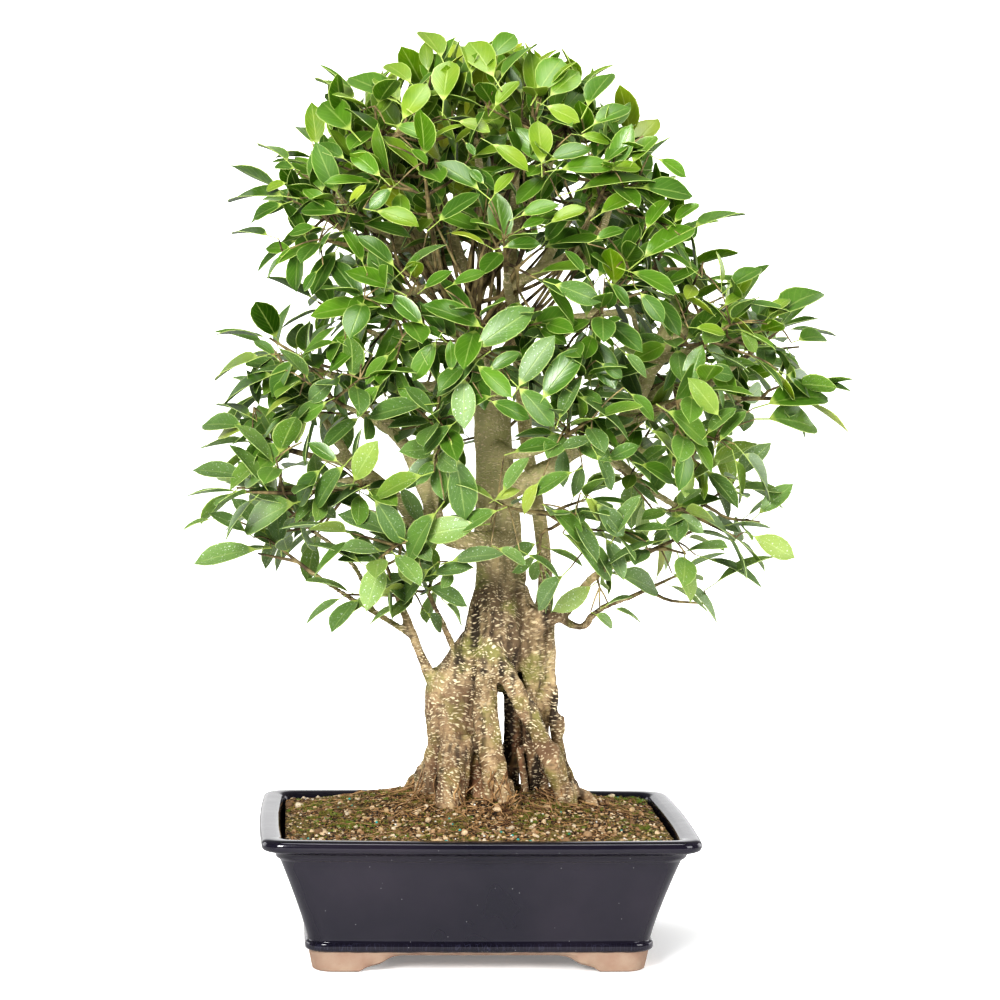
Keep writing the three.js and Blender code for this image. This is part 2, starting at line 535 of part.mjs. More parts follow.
// The shoot that carries a branch on
function leadShoot({ path, light }, random) {
  const end = new THREE.Vector3(...path[path.length - 1]);
  const before = new THREE.Vector3(...path[path.length - 2]);
  const onward = end.clone().sub(before).normalize();
  const along = onward.clone();
  along.z += light ? YOUNG_LIFT : OLD_LIFT;
  along.normalize();
  const length = SHOOT_LENGTH * (0.88 + 0.24 * random());
  const thick = Math.max(path[path.length - 1][3] - 0.2, TWIG_RADIUS);
  const tilt = new THREE.Vector3().crossVectors(onward, along).length();
  const start = end.clone().addScaledVector(onward, FIT_GAP + thick * tilt);
  const tip = start.clone().addScaledVector(along, length);
  const phase = 2 * Math.PI * random();
  return { start, tip, along, ...shootAxes(along), thick, light, phase };
}

// A shoot that forks off low on a lead shoot
function sideShoot(lead, attempt) {
  const phase = lead.phase + attempt * GOLDEN_ANGLE;
  const along = leanFrom(lead, SIDE_LEAN, phase);
  const start = lead.start.clone().lerp(lead.tip, SIDE_START);
  const tip = start.clone().addScaledVector(along, SIDE_LENGTH);
  return { start, tip, along, ...shootAxes(along), thick: TWIG_RADIUS, light: lead.light, phase };
}

function twigSolid({ start, tip, thick }) {
  const points = [[...start, thick], [...tip, TWIG_RADIUS * 0.8]];
  return stemSolid(points, { sides: 3, steps: 1 });
}

// Where a leaf sits: the first one crowns the shoot, and the next ones turn round the stem
// by the golden angle and lean out further down it
function leafPlace(shoot, order, turn, random) {
  const root = shoot.tip.clone().lerp(shoot.start, 0.05 + LEAF_STEP * order);
  const angle = order * GOLDEN_ANGLE + shoot.phase + turn;
  const lean = 0.42 + 0.2 * order + 0.2 * (random() - 0.5);
  const along = leanFrom(shoot, lean, angle);
  along.z -= shoot.light ? 0 : OLD_DROOP;
  along.normalize();
  const normal = UP.clone().multiplyScalar(0.8).addScaledVector(shoot.along, 0.45);
  normal.x += 0.5 * (random() - 0.5);
  normal.y += 0.5 * (random() - 0.5);
  normal.addScaledVector(along, -normal.dot(along)).normalize();
  const length = LEAF_LENGTH * (0.86 + 0.3 * random());
  return { root, along, normal, length, bend: 0.1 + 0.1 * random() };
}

// The leafy shoots. All twigs are placed first. Of the directions tried for a side shoot it
// takes the one that ends furthest from every other tip, and where all are crowded there is
// none. Each leaf is then turned round its stem until it is clear of the trunk and of every
// other spray, and of its own spray's leaves where it can be, or left out.
function buildSprays(trunk) {
  const sprays = BRANCHES.map((branch, index) => {
    const lead = leadShoot(branch, seededRandom(SEED + index));
    return { shoots: [lead], twigs: [twigSolid(lead)], leaves: [] };
  });
  const boxApart = (first, second) => [0, 1, 2].some((axis) => (
    first.max[axis] + LEAF_CLEAR < second.min[axis] || second.max[axis] + LEAF_CLEAR < first.min[axis]
  ));
  const isApart = (solid, others) => {
    const box = solid.boundingBox();
    return others.every((other) => (
      boxApart(box, other.boundingBox()) || solid.minGap(other, 2 * LEAF_CLEAR) >= LEAF_CLEAR
    ));
  };
  const isClear = (solid, own) => {
    const others = sprays.filter((spray) => spray !== own);
    return isApart(solid, [trunk, ...others.flatMap(({ twigs, leaves }) => [...twigs, ...leaves])]);
  };
  const roomAt = (place) => Math.min(...sprays.flatMap(({ shoots }) => (
    shoots.map((shoot) => shoot.tip.distanceTo(place))
  )));
  sprays.filter((spray, index) => !BRANCHES[index].lone).forEach((spray) => {
    const [lead] = spray.shoots;
    const choices = Array.from({ length: SIDE_TRIES }, (_, attempt) => sideShoot(lead, attempt))
      .filter(({ start, tip }) => tip.distanceTo(CROWN_MIDDLE) > start.distanceTo(CROWN_MIDDLE))
      .filter((shoot) => roomAt(shoot.tip) > SIDE_APART && isClear(twigSolid(shoot), spray))
      .sort((first, second) => roomAt(second.tip) - roomAt(first.tip));
    if (choices.length > 0) {
      spray.shoots.push(choices[0]);
      spray.twigs.push(twigSolid(choices[0]));
    }
  });
  for (let order = 0; order < LEAVES_PER_SHOOT; order += 1) {
    sprays.forEach((spray, index) => {
      spray.shoots.forEach((shoot, rank) => {
        if (rank > 0 && order >= LEAVES_PER_SIDE) {
          return;
        }
        const clear = LEAF_TURNS.map((turn) => {
          const random = seededRandom(SEED + 100 * (index + 1) + 50 * rank + order);
          return leafSolid(leafPlace(shoot, order, turn, random));
        }).filter((leaf) => isClear(leaf, spray));
        if (clear.length > 0) {
          spray.leaves.push(clear.find((leaf) => isApart(leaf, spray.leaves)) ?? clear[0]);
        }
      });
    });
  }
  sprays.forEach(({ shoots, twigs, leaves }, index) => {
    const name = `spray_${String(index + 1).padStart(2, '0')}`;
    const spray = mainBody(wasm.Manifold.union([...twigs, ...leaves]).simplify(LEAF_SMOOTH));
    addPiece(name, spray, shoots[0].light ? LEAF_LIGHT : LEAF_DARK);
  });
}

buildPot();
buildScreen('drain_mesh_left', -DRAIN_OFFSET);
buildScreen('drain_mesh_right', DRAIN_OFFSET);
buildSoil();
buildSprays(buildTrunk());

const box = new THREE.Box3().setFromObject(group);
const centre = box.getCenter(new THREE.Vector3());
group.position.set(-centre.x, -centre.y, 0);
group.updateMatrixWorld(true);

export default group;
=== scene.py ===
"""The looks of a ficus bonsai in a glazed pot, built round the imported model."""

import math
import random

import bmesh
import bpy
from mathutils import Matrix, Vector, noise
from mathutils.bvhtree import BVHTree
from mathutils.kdtree import KDTree


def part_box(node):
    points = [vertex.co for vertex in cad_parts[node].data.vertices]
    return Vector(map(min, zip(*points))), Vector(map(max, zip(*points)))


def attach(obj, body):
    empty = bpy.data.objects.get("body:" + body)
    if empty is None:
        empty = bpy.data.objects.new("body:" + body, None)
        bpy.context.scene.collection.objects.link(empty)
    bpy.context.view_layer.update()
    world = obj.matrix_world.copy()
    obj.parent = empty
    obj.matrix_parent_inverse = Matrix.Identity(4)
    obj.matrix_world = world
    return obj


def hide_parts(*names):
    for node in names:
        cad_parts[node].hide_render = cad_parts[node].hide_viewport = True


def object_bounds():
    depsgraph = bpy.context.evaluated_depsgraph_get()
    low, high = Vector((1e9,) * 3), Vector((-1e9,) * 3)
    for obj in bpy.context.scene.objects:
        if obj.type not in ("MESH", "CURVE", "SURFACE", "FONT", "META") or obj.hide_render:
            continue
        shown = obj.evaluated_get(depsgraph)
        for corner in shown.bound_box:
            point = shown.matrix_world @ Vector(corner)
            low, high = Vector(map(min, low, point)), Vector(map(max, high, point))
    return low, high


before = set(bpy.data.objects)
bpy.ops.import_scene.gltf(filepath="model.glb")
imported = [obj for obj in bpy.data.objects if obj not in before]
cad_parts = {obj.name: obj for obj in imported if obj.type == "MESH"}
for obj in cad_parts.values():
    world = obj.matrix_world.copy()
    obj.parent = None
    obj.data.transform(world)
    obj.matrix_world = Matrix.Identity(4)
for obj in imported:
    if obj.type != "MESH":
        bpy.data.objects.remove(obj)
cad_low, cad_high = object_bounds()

# The studio: the camera where the photograph was taken from, level with the upper trunk and
# almost three metres away, over a white floor in a white room. A large soft light shines from
# the upper left, and weaker ones from the right, from above and from behind on both sides.
MM = 0.001
CAMERA_PLACE = (-182.8, -2952.0, 621.7)
CAMERA_TURN = math.radians(3.94)
CAMERA_DIP = math.radians(3.70)
CAMERA_ROLL = math.radians(0.82)
CAMERA_LENS = 111.67
FLOOR_SIZE = 30
FLOOR_GAP = 0.0004
FLOOR_WHITE = (0.93, 0.93, 0.93, 1)
FLOOR_GLOW = (0.18, 0.9)
FLOOR_GLOW_REACH = (0.15, 0.45)
ROOM_GLOW = (0.07, 0.26)
ROOM_GLOW_REACH = (-0.75, 0.15)
ROOM_SEEN = 1.5
BACKDROP_GLOW = (0, 0.85)
BACKDROP_REACH = (0.86, 0.96)
# each light's name, stand, the height that it shines at over the middle, size and power
LIGHTS = [
    ("key_light", (-1.2, -2.7, 1.5), 0.42, 1.1, 98),
    ("fill_light", (1.9, -1.9, 1.2), 0.4, 1.4, 34),
    ("top_light", (0.1, -0.3, 2.7), 0.5, 1.2, 26),
    ("left_rim_light", (-2.7, 1.5, 0.9), 0.3, 1.8, 26),
    ("right_rim_light", (2.7, 1.5, 0.9), 0.3, 1.8, 26),
]

pot_low, pot_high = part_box("pot")
POT_MIDDLE = Vector(((pot_low.x + pot_high.x) / 2, (pot_low.y + pot_high.y) / 2, 0))


def place(x, y, z):
    """A place in millimetres from the middle of the pot's foot, as the frame's metres."""
    return POT_MIDDLE + Vector((x, y, z)) * MM


def show(name, data):
    """A new object of the scene."""
    thing = bpy.data.objects.new(name, data)
    bpy.context.scene.collection.objects.link(thing)
    return thing


class Paint:
    """The shader nodes of a new material, or of the world, made by short calls."""

    def __init__(self, name, kind=bpy.data.materials):
        self.owner = kind.new(name)
        self.owner.use_nodes = True
        self.nodes = self.owner.node_tree.nodes

    def feed(self, node, inputs):
        """Sets a node's inputs: a number or colour is held there, an output is linked."""
        for key, value in inputs.items():
            if isinstance(value, bpy.types.NodeSocket):
                self.owner.node_tree.links.new(value, node.inputs[key])
            else:
                node.inputs[key].default_value = value

    def node(self, kind, inputs, output=0, **settings):
        """One output of a new node."""
        node = self.nodes.new("ShaderNode" + kind)
        for name, value in settings.items():
            setattr(node, name, value)
        self.feed(node, inputs)
        return node.outputs[output]

    def math(self, operation, first, second=0.0):
        return self.node("Math", {0: first, 1: second}, operation=operation)

    def ramp(self, value, low, high, start=0.0, end=1.0):
        """value from low to high, made a number from start to end and held there."""
        return self.node("MapRange", {
            "Value": value, "From Min": low, "From Max": high, "To Min": start, "To Max": end})

    def where(self, stretch=(1, 1, 1)):
        """The place on the piece, in metres."""
        return self.node("Mapping", {
            "Vector": self.node("TexCoord", {}, "Object"), "Scale": stretch})


camera = show("camera", bpy.data.cameras.new("camera"))
bpy.context.scene.camera = camera
camera.data.lens = CAMERA_LENS
ahead = Vector((
    math.sin(CAMERA_TURN) * math.cos(CAMERA_DIP),
    math.cos(CAMERA_TURN) * math.cos(CAMERA_DIP),
    -math.sin(CAMERA_DIP),
))
right = ahead.cross(Vector((0, 0, 1))).normalized()
above = right.cross(ahead)
axes = Matrix((
    right * math.cos(CAMERA_ROLL) + above * math.sin(CAMERA_ROLL),
    above * math.cos(CAMERA_ROLL) - right * math.sin(CAMERA_ROLL),
    -ahead,
)).transposed()
camera.matrix_world = Matrix.Translation(place(*CAMERA_PLACE)) @ axes.to_4x4()

floor_mesh = bmesh.new()
bmesh.ops.create_grid(floor_mesh, x_segments=1, y_segments=1, size=FLOOR_SIZE / 2)
bmesh.ops.translate(floor_mesh, verts=floor_mesh.verts, vec=(0, 0, -FLOOR_GAP))
floor = show("studio_floor", bpy.data.meshes.new("studio_floor"))
floor_mesh.to_mesh(floor.data)
floor_mesh.free()
white = Paint("white_floor")
from_middle = white.node("VectorMath", {0: white.where()}, "Value", operation="LENGTH")
white.feed(white.nodes["Principled BSDF"], {
    "Base Color": FLOOR_WHITE, "Roughness": 0.7, "Emission Color": (1, 1, 1, 1),
    "Emission Strength": white.math(
        "MULTIPLY", white.node("LightPath", {}, "Is Camera Ray"),
        white.ramp(from_middle, *FLOOR_GLOW_REACH, *FLOOR_GLOW))})
floor.data.materials.append(white.owner)

# The room glows a little, more behind the pot than behind the camera, and most straight
# behind the pot; the camera itself sees it white.
room = Paint("white_room", bpy.data.worlds)
behind = room.node("SeparateXYZ", {0: room.node("TexCoord", {}, "Generated")}, "Y")
room.feed(room.nodes["Background"], {
    "Color": (1, 1, 1, 1),
    "Strength": room.node("Mix", {
        0: room.node("LightPath", {}, "Is Camera Ray"),
        2: room.math("ADD", room.ramp(behind, *ROOM_GLOW_REACH, *ROOM_GLOW),
                     room.ramp(behind, *BACKDROP_REACH, *BACKDROP_GLOW)),
        3: ROOM_SEEN})})
bpy.context.scene.world = room.owner
bpy.context.scene.view_settings.view_transform = "Standard"
bpy.context.scene.view_settings.look = "High Contrast"
for name, stand, aim, size, power in LIGHTS:
    lamp = show(name, bpy.data.lights.new(name, "AREA"))
    lamp.data.size = size
    lamp.data.energy = power
    lamp.location = stand
    lamp.rotation_mode = "QUATERNION"
    lamp.rotation_quaternion = (Vector((0, 0, aim)) - Vector(stand)).to_track_quat("-Z", "Y")

# The pot: one piece of fired clay with soft corners, slightly bowed sides, a rounded
# overhanging lip and four corner feet with ogee arches between them. It is dipped in
# dark navy glaze down to the bead at its foot, and bare beige clay below that.
POT_LENGTH = 406
POT_DEPTH = 307
POT_HEIGHT = 127
LIP_WIDTH = 20
LIP_HEIGHT = 11
WALL_TOP = (379, 281)
WALL_FOOT = (320, 250)
BEAD_BOTTOM = 19.5
BEAD_TOP = 28
BEAD_PROUD = 2
PANEL_TOP = 107
FLOOR_TOP = 30
RECESS_HEIGHT = 17.5
INNER_FLOOR = (300, 222)
ARCH_HEIGHT = 15.5
FOOT_FLAT = 44
FOOT_INSET = 5
FRONT_SHARE = 0.46
OGEE_LENGTH = 41
OGEE = [(0, 0), (0.10, 3.4), (0.25, 5.4), (0.42, 7.0), (0.54, 9.6), (0.62, 12.0), (0.74, 14.2),
        (0.88, 15.2), (1, ARCH_HEIGHT)]
SIDE_BOW = 5
END_BOW_SHARE = 0.6
DRAIN_DIAMETER = 22
DRAIN_OFFSET = 76
DRAIN_STEPS = 40
CORNER_STEPS = 10
SIDE_STEPS = (84, 64)
NAVY = (0.010, 0.009, 0.017, 1)
NAVY_THIN = (0.022, 0.018, 0.028, 1)
CLAY = (0.345, 0.256, 0.192, 1)
CLAY_DARK = (0.29, 0.19, 0.14, 1)
CLAY_SPECK = (0.30, 0.19, 0.13, 1)
CRAZING = (0.10, 0.10, 0.16, 1)
DUST = (0.45, 0.45, 0.45, 1)


class Surface(Paint):
    """A piece's surface: colours laid over each other, and a fine relief."""

    def mix(self, share, first, second):
        """The first colour, with this share of the second."""
        return self.node("Mix", {0: share, 6: first, 7: second}, 2, data_type="RGBA")

    def grain(self, scale, detail=3.0, stretch=(1, 1, 1)):
        """Soft noise over the piece, about one spot for every 1/scale metres."""
        return self.node("TexNoise", {
            "Vector": self.where(stretch), "Scale": scale, "Detail": detail}, "Fac")

    def cells(self, scale, where=None):
        """Cells of about 1/scale metres: the distance from each one's middle, and its colour."""
        node = self.node("TexVoronoi", {"Vector": where or self.where(), "Scale": scale}).node
        return node.outputs["Distance"], node.outputs["Color"]

    def over(self, under, tint, spots, low, high, share=1.0):
        """The colour under, with this tint over it where the noise of spots is high."""
        return self.mix(self.ramp(self.grain(*spots), low, high, 0, share), under, tint)

    def finish(self, colour, roughness, height, depth, strength=1.0):
        """The material, with its colour, roughness and fine relief."""
        relief = self.node("Bump", {"Height": height, "Distance": depth, "Strength": strength})
        self.feed(self.nodes["Principled BSDF"], {
            "Base Color": colour, "Roughness": roughness, "Normal": relief})
        return self.owner


def add_piece(name, shape, materials, sharp_angle=None):
    """A finished piece of the object: its place is in its mesh, and it rides the root body."""
    mesh = bpy.data.meshes.new(name)
    shape.to_mesh(mesh)
    shape.free()
    for material in materials:
        mesh.materials.append(material)
    mesh.shade_smooth()
    if sharp_angle is not None:
        mesh.set_sharp_from_angle(angle=math.radians(sharp_angle))
    piece = show(name, mesh)
    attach(piece, "root")
    return piece


def pot_outline(length, depth, radius, bow):
    """Round corners and gently bowed sides, as places (x, y) all the way round."""
    points = []
    for quarter, (side_x, side_y) in enumerate([(1, 1), (-1, 1), (-1, -1), (1, -1)]):
        for step in range(CORNER_STEPS + 1):
            angle = (quarter + step / CORNER_STEPS) * math.pi / 2
            points.append((
                side_x * (length / 2 - radius) + radius * math.cos(angle),
                side_y * (depth / 2 - radius) + radius * math.sin(angle),
            ))
        start_x, start_y = points[-1]
        steps = SIDE_STEPS[quarter % 2]
        for step in range(1, steps):
            part = step / steps
            proud = bow * 4 * part * (1 - part)
            if quarter % 2 == 0:
                run = length - 2 * radius
                points.append((start_x - side_x * run * part, start_y + side_y * proud))
            else:
                run = depth - 2 * radius
                points.append((start_x + side_x * END_BOW_SHARE * proud,
                               start_y - side_y * run * part))
    return points


def arch_height(x, y):
    """How far the foot's lower edge is above the floor at this place on the outline."""
    on_front = abs(x) / WALL_FOOT[0] < abs(y) / WALL_FOOT[1] or abs(y) > WALL_FOOT[1] * FRONT_SHARE
    half, along = (WALL_FOOT[0] / 2, abs(x)) if on_front else (WALL_FOOT[1] / 2, abs(y))
    from_foot = (half - FOOT_INSET - FOOT_FLAT - along) / OGEE_LENGTH
    if from_foot <= 0:
        return 0
    for (low, low_height), (high, high_height) in zip(OGEE, OGEE[1:]):
        if from_foot < high:
            return low_height + (high_height - low_height) * (from_foot - low) / (high - low)
    return ARCH_HEIGHT


def foot_ring(grow, height, radius):
    return (WALL_FOOT[0] - 2 + grow, WALL_FOOT[1] - 2 + grow, radius, 1, height)


def wall_ring(part, hollow):
    """A ring this part of the way up the wall, drawn in by its hollow."""
    across = [
        foot + (top - foot) * part - hollow for foot, top in zip(WALL_FOOT, WALL_TOP)]
    return (*across, 21, 2 + 2 * part, BEAD_TOP + (PANEL_TOP - BEAD_TOP) * part)


def lip_ring(inset, down):
    return (
        POT_LENGTH - 2 * inset, POT_DEPTH - 2 * inset, 20 - inset * 0.3, SIDE_BOW,
        POT_HEIGHT - down)


bead = 2 * BEAD_PROUD + 2
POT_RINGS = [
    # the underside, the feet and the bead
    foot_ring(-34, RECESS_HEIGHT, 12),
    foot_ring(-37, lambda x, y: arch_height(x, y) + 1, 12),
    foot_ring(-36, arch_height, 12),
    foot_ring(-11, arch_height, 19),
    foot_ring(-8, lambda x, y: arch_height(x, y) + 1, 20),
    foot_ring(-5, lambda x, y: max(arch_height(x, y) + 2, 8), 20),
    foot_ring(-1, BEAD_BOTTOM - 1, 21),
    foot_ring(0, BEAD_BOTTOM, 21),
    foot_ring(bead - 3, BEAD_BOTTOM + 0.4, 21),
    foot_ring(bead - 0.8, BEAD_BOTTOM + 1.4, 21),
    foot_ring(bead, BEAD_BOTTOM + 3, 21),
    foot_ring(bead, BEAD_TOP - 2.6, 21),
    foot_ring(bead - 0.9, BEAD_TOP - 0.9, 21),
    # up the wall
    *[wall_ring(part, hollow) for part, hollow in (
        (0, 0), (0.012, 1.4), (0.05, 2.2), (0.15, 4.0), (0.3, 5.6), (0.5, 6.4), (0.7, 6.4),
        (0.88, 6.0), (0.97, 5.6), (0.99, 4.2), (1.005, 1.6), (1.02, 0.6))],
    # the cove under the lip, round the lip and down its inside
    *[lip_ring(inset, down) for inset, down in (
        (13.4, LIP_HEIGHT + 6.5), (12.4, LIP_HEIGHT + 3.8), (9.6, LIP_HEIGHT + 1.8),
        (4.4, LIP_HEIGHT + 0.6), (1.6, LIP_HEIGHT - 0.8), (0.3, LIP_HEIGHT - 2.8),
        (0, LIP_HEIGHT - 4.6), (0.3, 3.4), (1.6, 1.6), (3.6, 0.5), (6.5, 0),
        (LIP_WIDTH - 6, 0.2), (LIP_WIDTH - 2.6, 1.2), (LIP_WIDTH - 0.8, 3), (LIP_WIDTH, 5.6),
        (LIP_WIDTH + 1, 10))],
    # down to the inner floor
    (INNER_FLOOR[0] + 10, INNER_FLOOR[1] + 10, 15, 0, FLOOR_TOP + 14),
    (INNER_FLOOR[0], INNER_FLOOR[1], 14, 0, FLOOR_TOP),
]


def wrapped_grid(shape, around, along, where):
    """A tube: a grid whose two long edges are joined, each corner moved to where(i, j)."""
    made = bmesh.ops.create_grid(shape, x_segments=around, y_segments=along, size=1)["verts"]
    for corner in made:
        column = round((corner.co.x + 1) / 2 * around)
        row = round((corner.co.y + 1) / 2 * along)
        corner.co = where(column % around, row)
    bmesh.ops.remove_doubles(shape, verts=made, dist=1e-7)


outlines = [pot_outline(*ring[:4]) for ring in POT_RINGS]


def pot_corner(column, row):
    x, y = outlines[row][column]
    height = POT_RINGS[row][4]
    return place(x, y, height(x, y) if callable(height) else height)


pot_shape = bmesh.new()
wrapped_grid(pot_shape, len(outlines[0]), len(outlines) - 1, pot_corner)
rims = {False: [], True: []}
for edge in pot_shape.edges:
    if edge.is_boundary:
        rims[edge.verts[0].co.z > (RECESS_HEIGHT + 1) * MM].append(edge)
hole_edges = []
for is_inside, height in ((False, RECESS_HEIGHT), (True, FLOOR_TOP)):
    holes = []
    for offset in (-DRAIN_OFFSET, DRAIN_OFFSET):
        circle = bmesh.ops.create_circle(
            pot_shape, cap_ends=False, segments=DRAIN_STEPS, radius=DRAIN_DIAMETER / 2 * MM,
            matrix=Matrix.Translation(place(offset, 0, height)))["verts"]
        holes.append({edge for corner in circle for edge in corner.link_edges})
    hole_edges.append(holes)
    bmesh.ops.triangle_fill(
        pot_shape, use_beauty=True, edges=rims[is_inside] + [e for hole in holes for e in hole])
for lower, upper in zip(*hole_edges):
    bmesh.ops.bridge_loops(pot_shape, edges=list(lower | upper))
bmesh.ops.recalc_face_normals(pot_shape, faces=pot_shape.faces)

glaze = Surface("navy_glaze_on_beige_clay")
height = glaze.node("SeparateXYZ", {0: glaze.where()}, "Z")
waver = glaze.ramp(glaze.grain(60), 0.3, 0.7, -0.0004, 0.0004)
dipped = glaze.ramp(
    glaze.math("ADD", height, waver), (BEAD_BOTTOM - 0.6) * MM, (BEAD_BOTTOM + 0.1) * MM)
navy = glaze.over(NAVY, NAVY_THIN, (9,), 0.35, 0.7)
cracks = glaze.node("TexVoronoi", {
    "Vector": glaze.where((1, 1, 0.12)), "Scale": 260.0}, feature="DISTANCE_TO_EDGE")
on_bead = glaze.math(
    "MULTIPLY", glaze.ramp(height, 0.0205, 0.0215), glaze.ramp(height, 0.0285, 0.0275))
navy = glaze.mix(
    glaze.math("MULTIPLY", on_bead, glaze.ramp(cracks, 0.05, 0.0, 0, 0.22)), navy, CRAZING)
navy = glaze.mix(glaze.ramp(glaze.cells(95.0)[0], 0.06, 0.03, 0, 0.3), navy, DUST)
bare = glaze.over(CLAY, CLAY_DARK, (70, 6), 0.35, 0.75)
bare = glaze.over(bare, CLAY_SPECK, (700, 2), 0.62, 0.72, 0.5)
gloss = glaze.math("SUBTRACT", dipped, glaze.ramp(glaze.grain(25), 0.3, 0.7, 0.0, 0.06))
pot_piece = add_piece("pot_fired", pot_shape, [glaze.finish(
    glaze.mix(dipped, bare, navy), glaze.ramp(gloss, 0, 1, 0.78, 0.09),
    glaze.mix(dipped, glaze.grain(420, 4), glaze.grain(30, 1)), 0.0006, 0.5)],
    40)
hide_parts("pot")

# The screens over the two drain holes: black plastic mesh, cut square and laid on the
# pot's floor under the soil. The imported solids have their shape.
SCREEN_BLACK = (0.012, 0.012, 0.013, 1)
SCREEN_WORN = (0.03, 0.03, 0.032, 1)
screen = Surface("black_mesh_plastic")
screen.finish(
    screen.mix(screen.grain(300), SCREEN_BLACK, SCREEN_WORN), 0.45, screen.grain(900), 0.0003)
for name in ("drain_mesh_left", "drain_mesh_right"):
    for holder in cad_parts[name].material_slots:
        holder.material = screen.owner

# The soil: a brown mound of peat, bark crumbs and fine roots that fills the pot to just
# under its lip and rises to the trunk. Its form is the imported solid's, with a crumbly top.
SOIL_CELL = 2.6
SOIL_TOP_FROM = 118
RAY_START = 178
PEAT = (0.110, 0.060, 0.026, 1)
DARK_PEAT_AND_PAINTED_SHADE = (0.020, 0.010, 0.005, 1)
FIBRE_BROWN = (0.50, 0.29, 0.12, 1)
MOSS_FILM = (0.200, 0.165, 0.040, 1)
CRUMB_TAN = (0.78, 0.62, 0.42, 1)


def one_skin(source, cell):
    """The form of source's mesh as one closed skin of small even faces."""
    remesh = source.modifiers.new("one_skin", "REMESH")
    remesh.mode = "VOXEL"
    remesh.voxel_size = cell * MM
    skin = bmesh.new()
    skin.from_object(source, bpy.context.evaluated_depsgraph_get())
    bpy.data.objects.remove(source)
    return skin


soil_copy = show("soil_copy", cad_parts["soil"].data.copy())
merged = bmesh.new()
merged.from_mesh(soil_copy.data)
bmesh.ops.remove_doubles(merged, verts=merged.verts, dist=1e-6)
merged.to_mesh(soil_copy.data)
merged.free()
soil_shape = one_skin(soil_copy, SOIL_CELL)
for corner in soil_shape.verts:
    if corner.normal.z > 0.3 and corner.co.z > SOIL_TOP_FROM * MM:
        at = corner.co / MM
        corner.co.z += MM * (
            1.5 * noise.noise(at * 0.07) + 1.3 * noise.noise(at * 0.22)
            + 1.1 * abs(noise.noise(at * 0.55)) - 0.3)
soil_ground = BVHTree.FromBMesh(soil_shape)

earth = Surface("peat_and_bark_crumbs")
crumb_middle, crumb_tint = earth.cells(340.0)
fine = earth.grain(260, 5)
# darker where the relief is low: dark peat, and painted shade in the hollows
brown = earth.mix(earth.ramp(fine, 0.48, 0.64), DARK_PEAT_AND_PAINTED_SHADE, PEAT)
brown = earth.over(brown, FIBRE_BROWN, (420, 4), 0.50, 0.62)
brown = earth.mix(earth.ramp(crumb_tint, 0.76, 0.82, 0, 0.9), brown, CRUMB_TAN)
mossy = earth.math(
    "MULTIPLY", earth.ramp(earth.grain(22, 4), 0.47, 0.60),
    earth.ramp(earth.grain(300, 3), 0.40, 0.55))
soil_piece = add_piece("soil_mound", soil_shape, [earth.finish(
    earth.mix(mossy, brown, MOSS_FILM), 0.92, earth.math("SUBTRACT", fine, crumb_middle),
    0.003)])
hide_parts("soil")

# The gravel: pumice, fired clay and grit on top of the soil, tan to cream, mostly 2 to 6 mm
# across and thicker along the front edge, with blue-green feed pellets and white perlite.
GRAVEL_HANDFULS = 12
TREE_FOOT = (15, 30)
TREE_FOOT_REACH = (70, 45)
FRONT_SPREAD = 42
BIG_STONE_SHARE = 0.045
BIG_STONES = (3.0, 4.8)
LUMPINESS = 0.42
GRAVEL_TINTS = [(0.50, 0.36, 0.21), (0.62, 0.48, 0.32), (0.30, 0.18, 0.09), (0.42, 0.28, 0.16),
                (0.20, 0.12, 0.06), (0.66, 0.56, 0.42)]
PELLET_TINT = (0.03, 0.36, 0.33)
PERLITE_TINT = (0.75, 0.74, 0.70)
# how many grains, of what radius, in which tints, and the share near the front edge
HANDFULS = [
    *[(55, (0.8, 2.3), GRAVEL_TINTS, 0.4)] * GRAVEL_HANDFULS,
    (30, (1.1, 1.5), [PELLET_TINT], 0.35),
    (60, (0.6, 1.2), [PERLITE_TINT], 0.3),
]
STONE_STAIN = (0.20, 0.14, 0.09, 1)
OPENING = (POT_LENGTH - 2 * LIP_WIDTH, POT_DEPTH - 2 * LIP_WIDTH)


def ground_at(x, y):
    """The soil's surface at this place, in the frame's metres."""
    return soil_ground.ray_cast(place(x, y, RAY_START), Vector((0, 0, -1)))[0]


def scatter(draw, front_share, edge=5):
    """A place on the soil, more often near the front edge, and clear of the tree's foot."""
    while True:
        x = draw.uniform(-OPENING[0] / 2 + edge, OPENING[0] / 2 - edge)
        y = draw.uniform(-OPENING[1] / 2 + edge, OPENING[1] / 2 - edge)
        if draw.random() < front_share:
            y = -OPENING[1] / 2 + edge + abs(draw.gauss(0, FRONT_SPREAD))
        from_tree = math.hypot(
            (x - TREE_FOOT[0]) / TREE_FOOT_REACH[0], (y - TREE_FOOT[1]) / TREE_FOOT_REACH[1])
        if abs(y) < OPENING[1] / 2 - edge and from_tree >= 1:
            return x, y


def join_to(whole, handful):
    """Adds a handful of grains or leaves to the whole, which keeps large shapes quick."""
    mesh = bpy.data.meshes.new("handful")
    handful.to_mesh(mesh)
    handful.free()
    whole.from_mesh(mesh)
    bpy.data.meshes.remove(mesh)


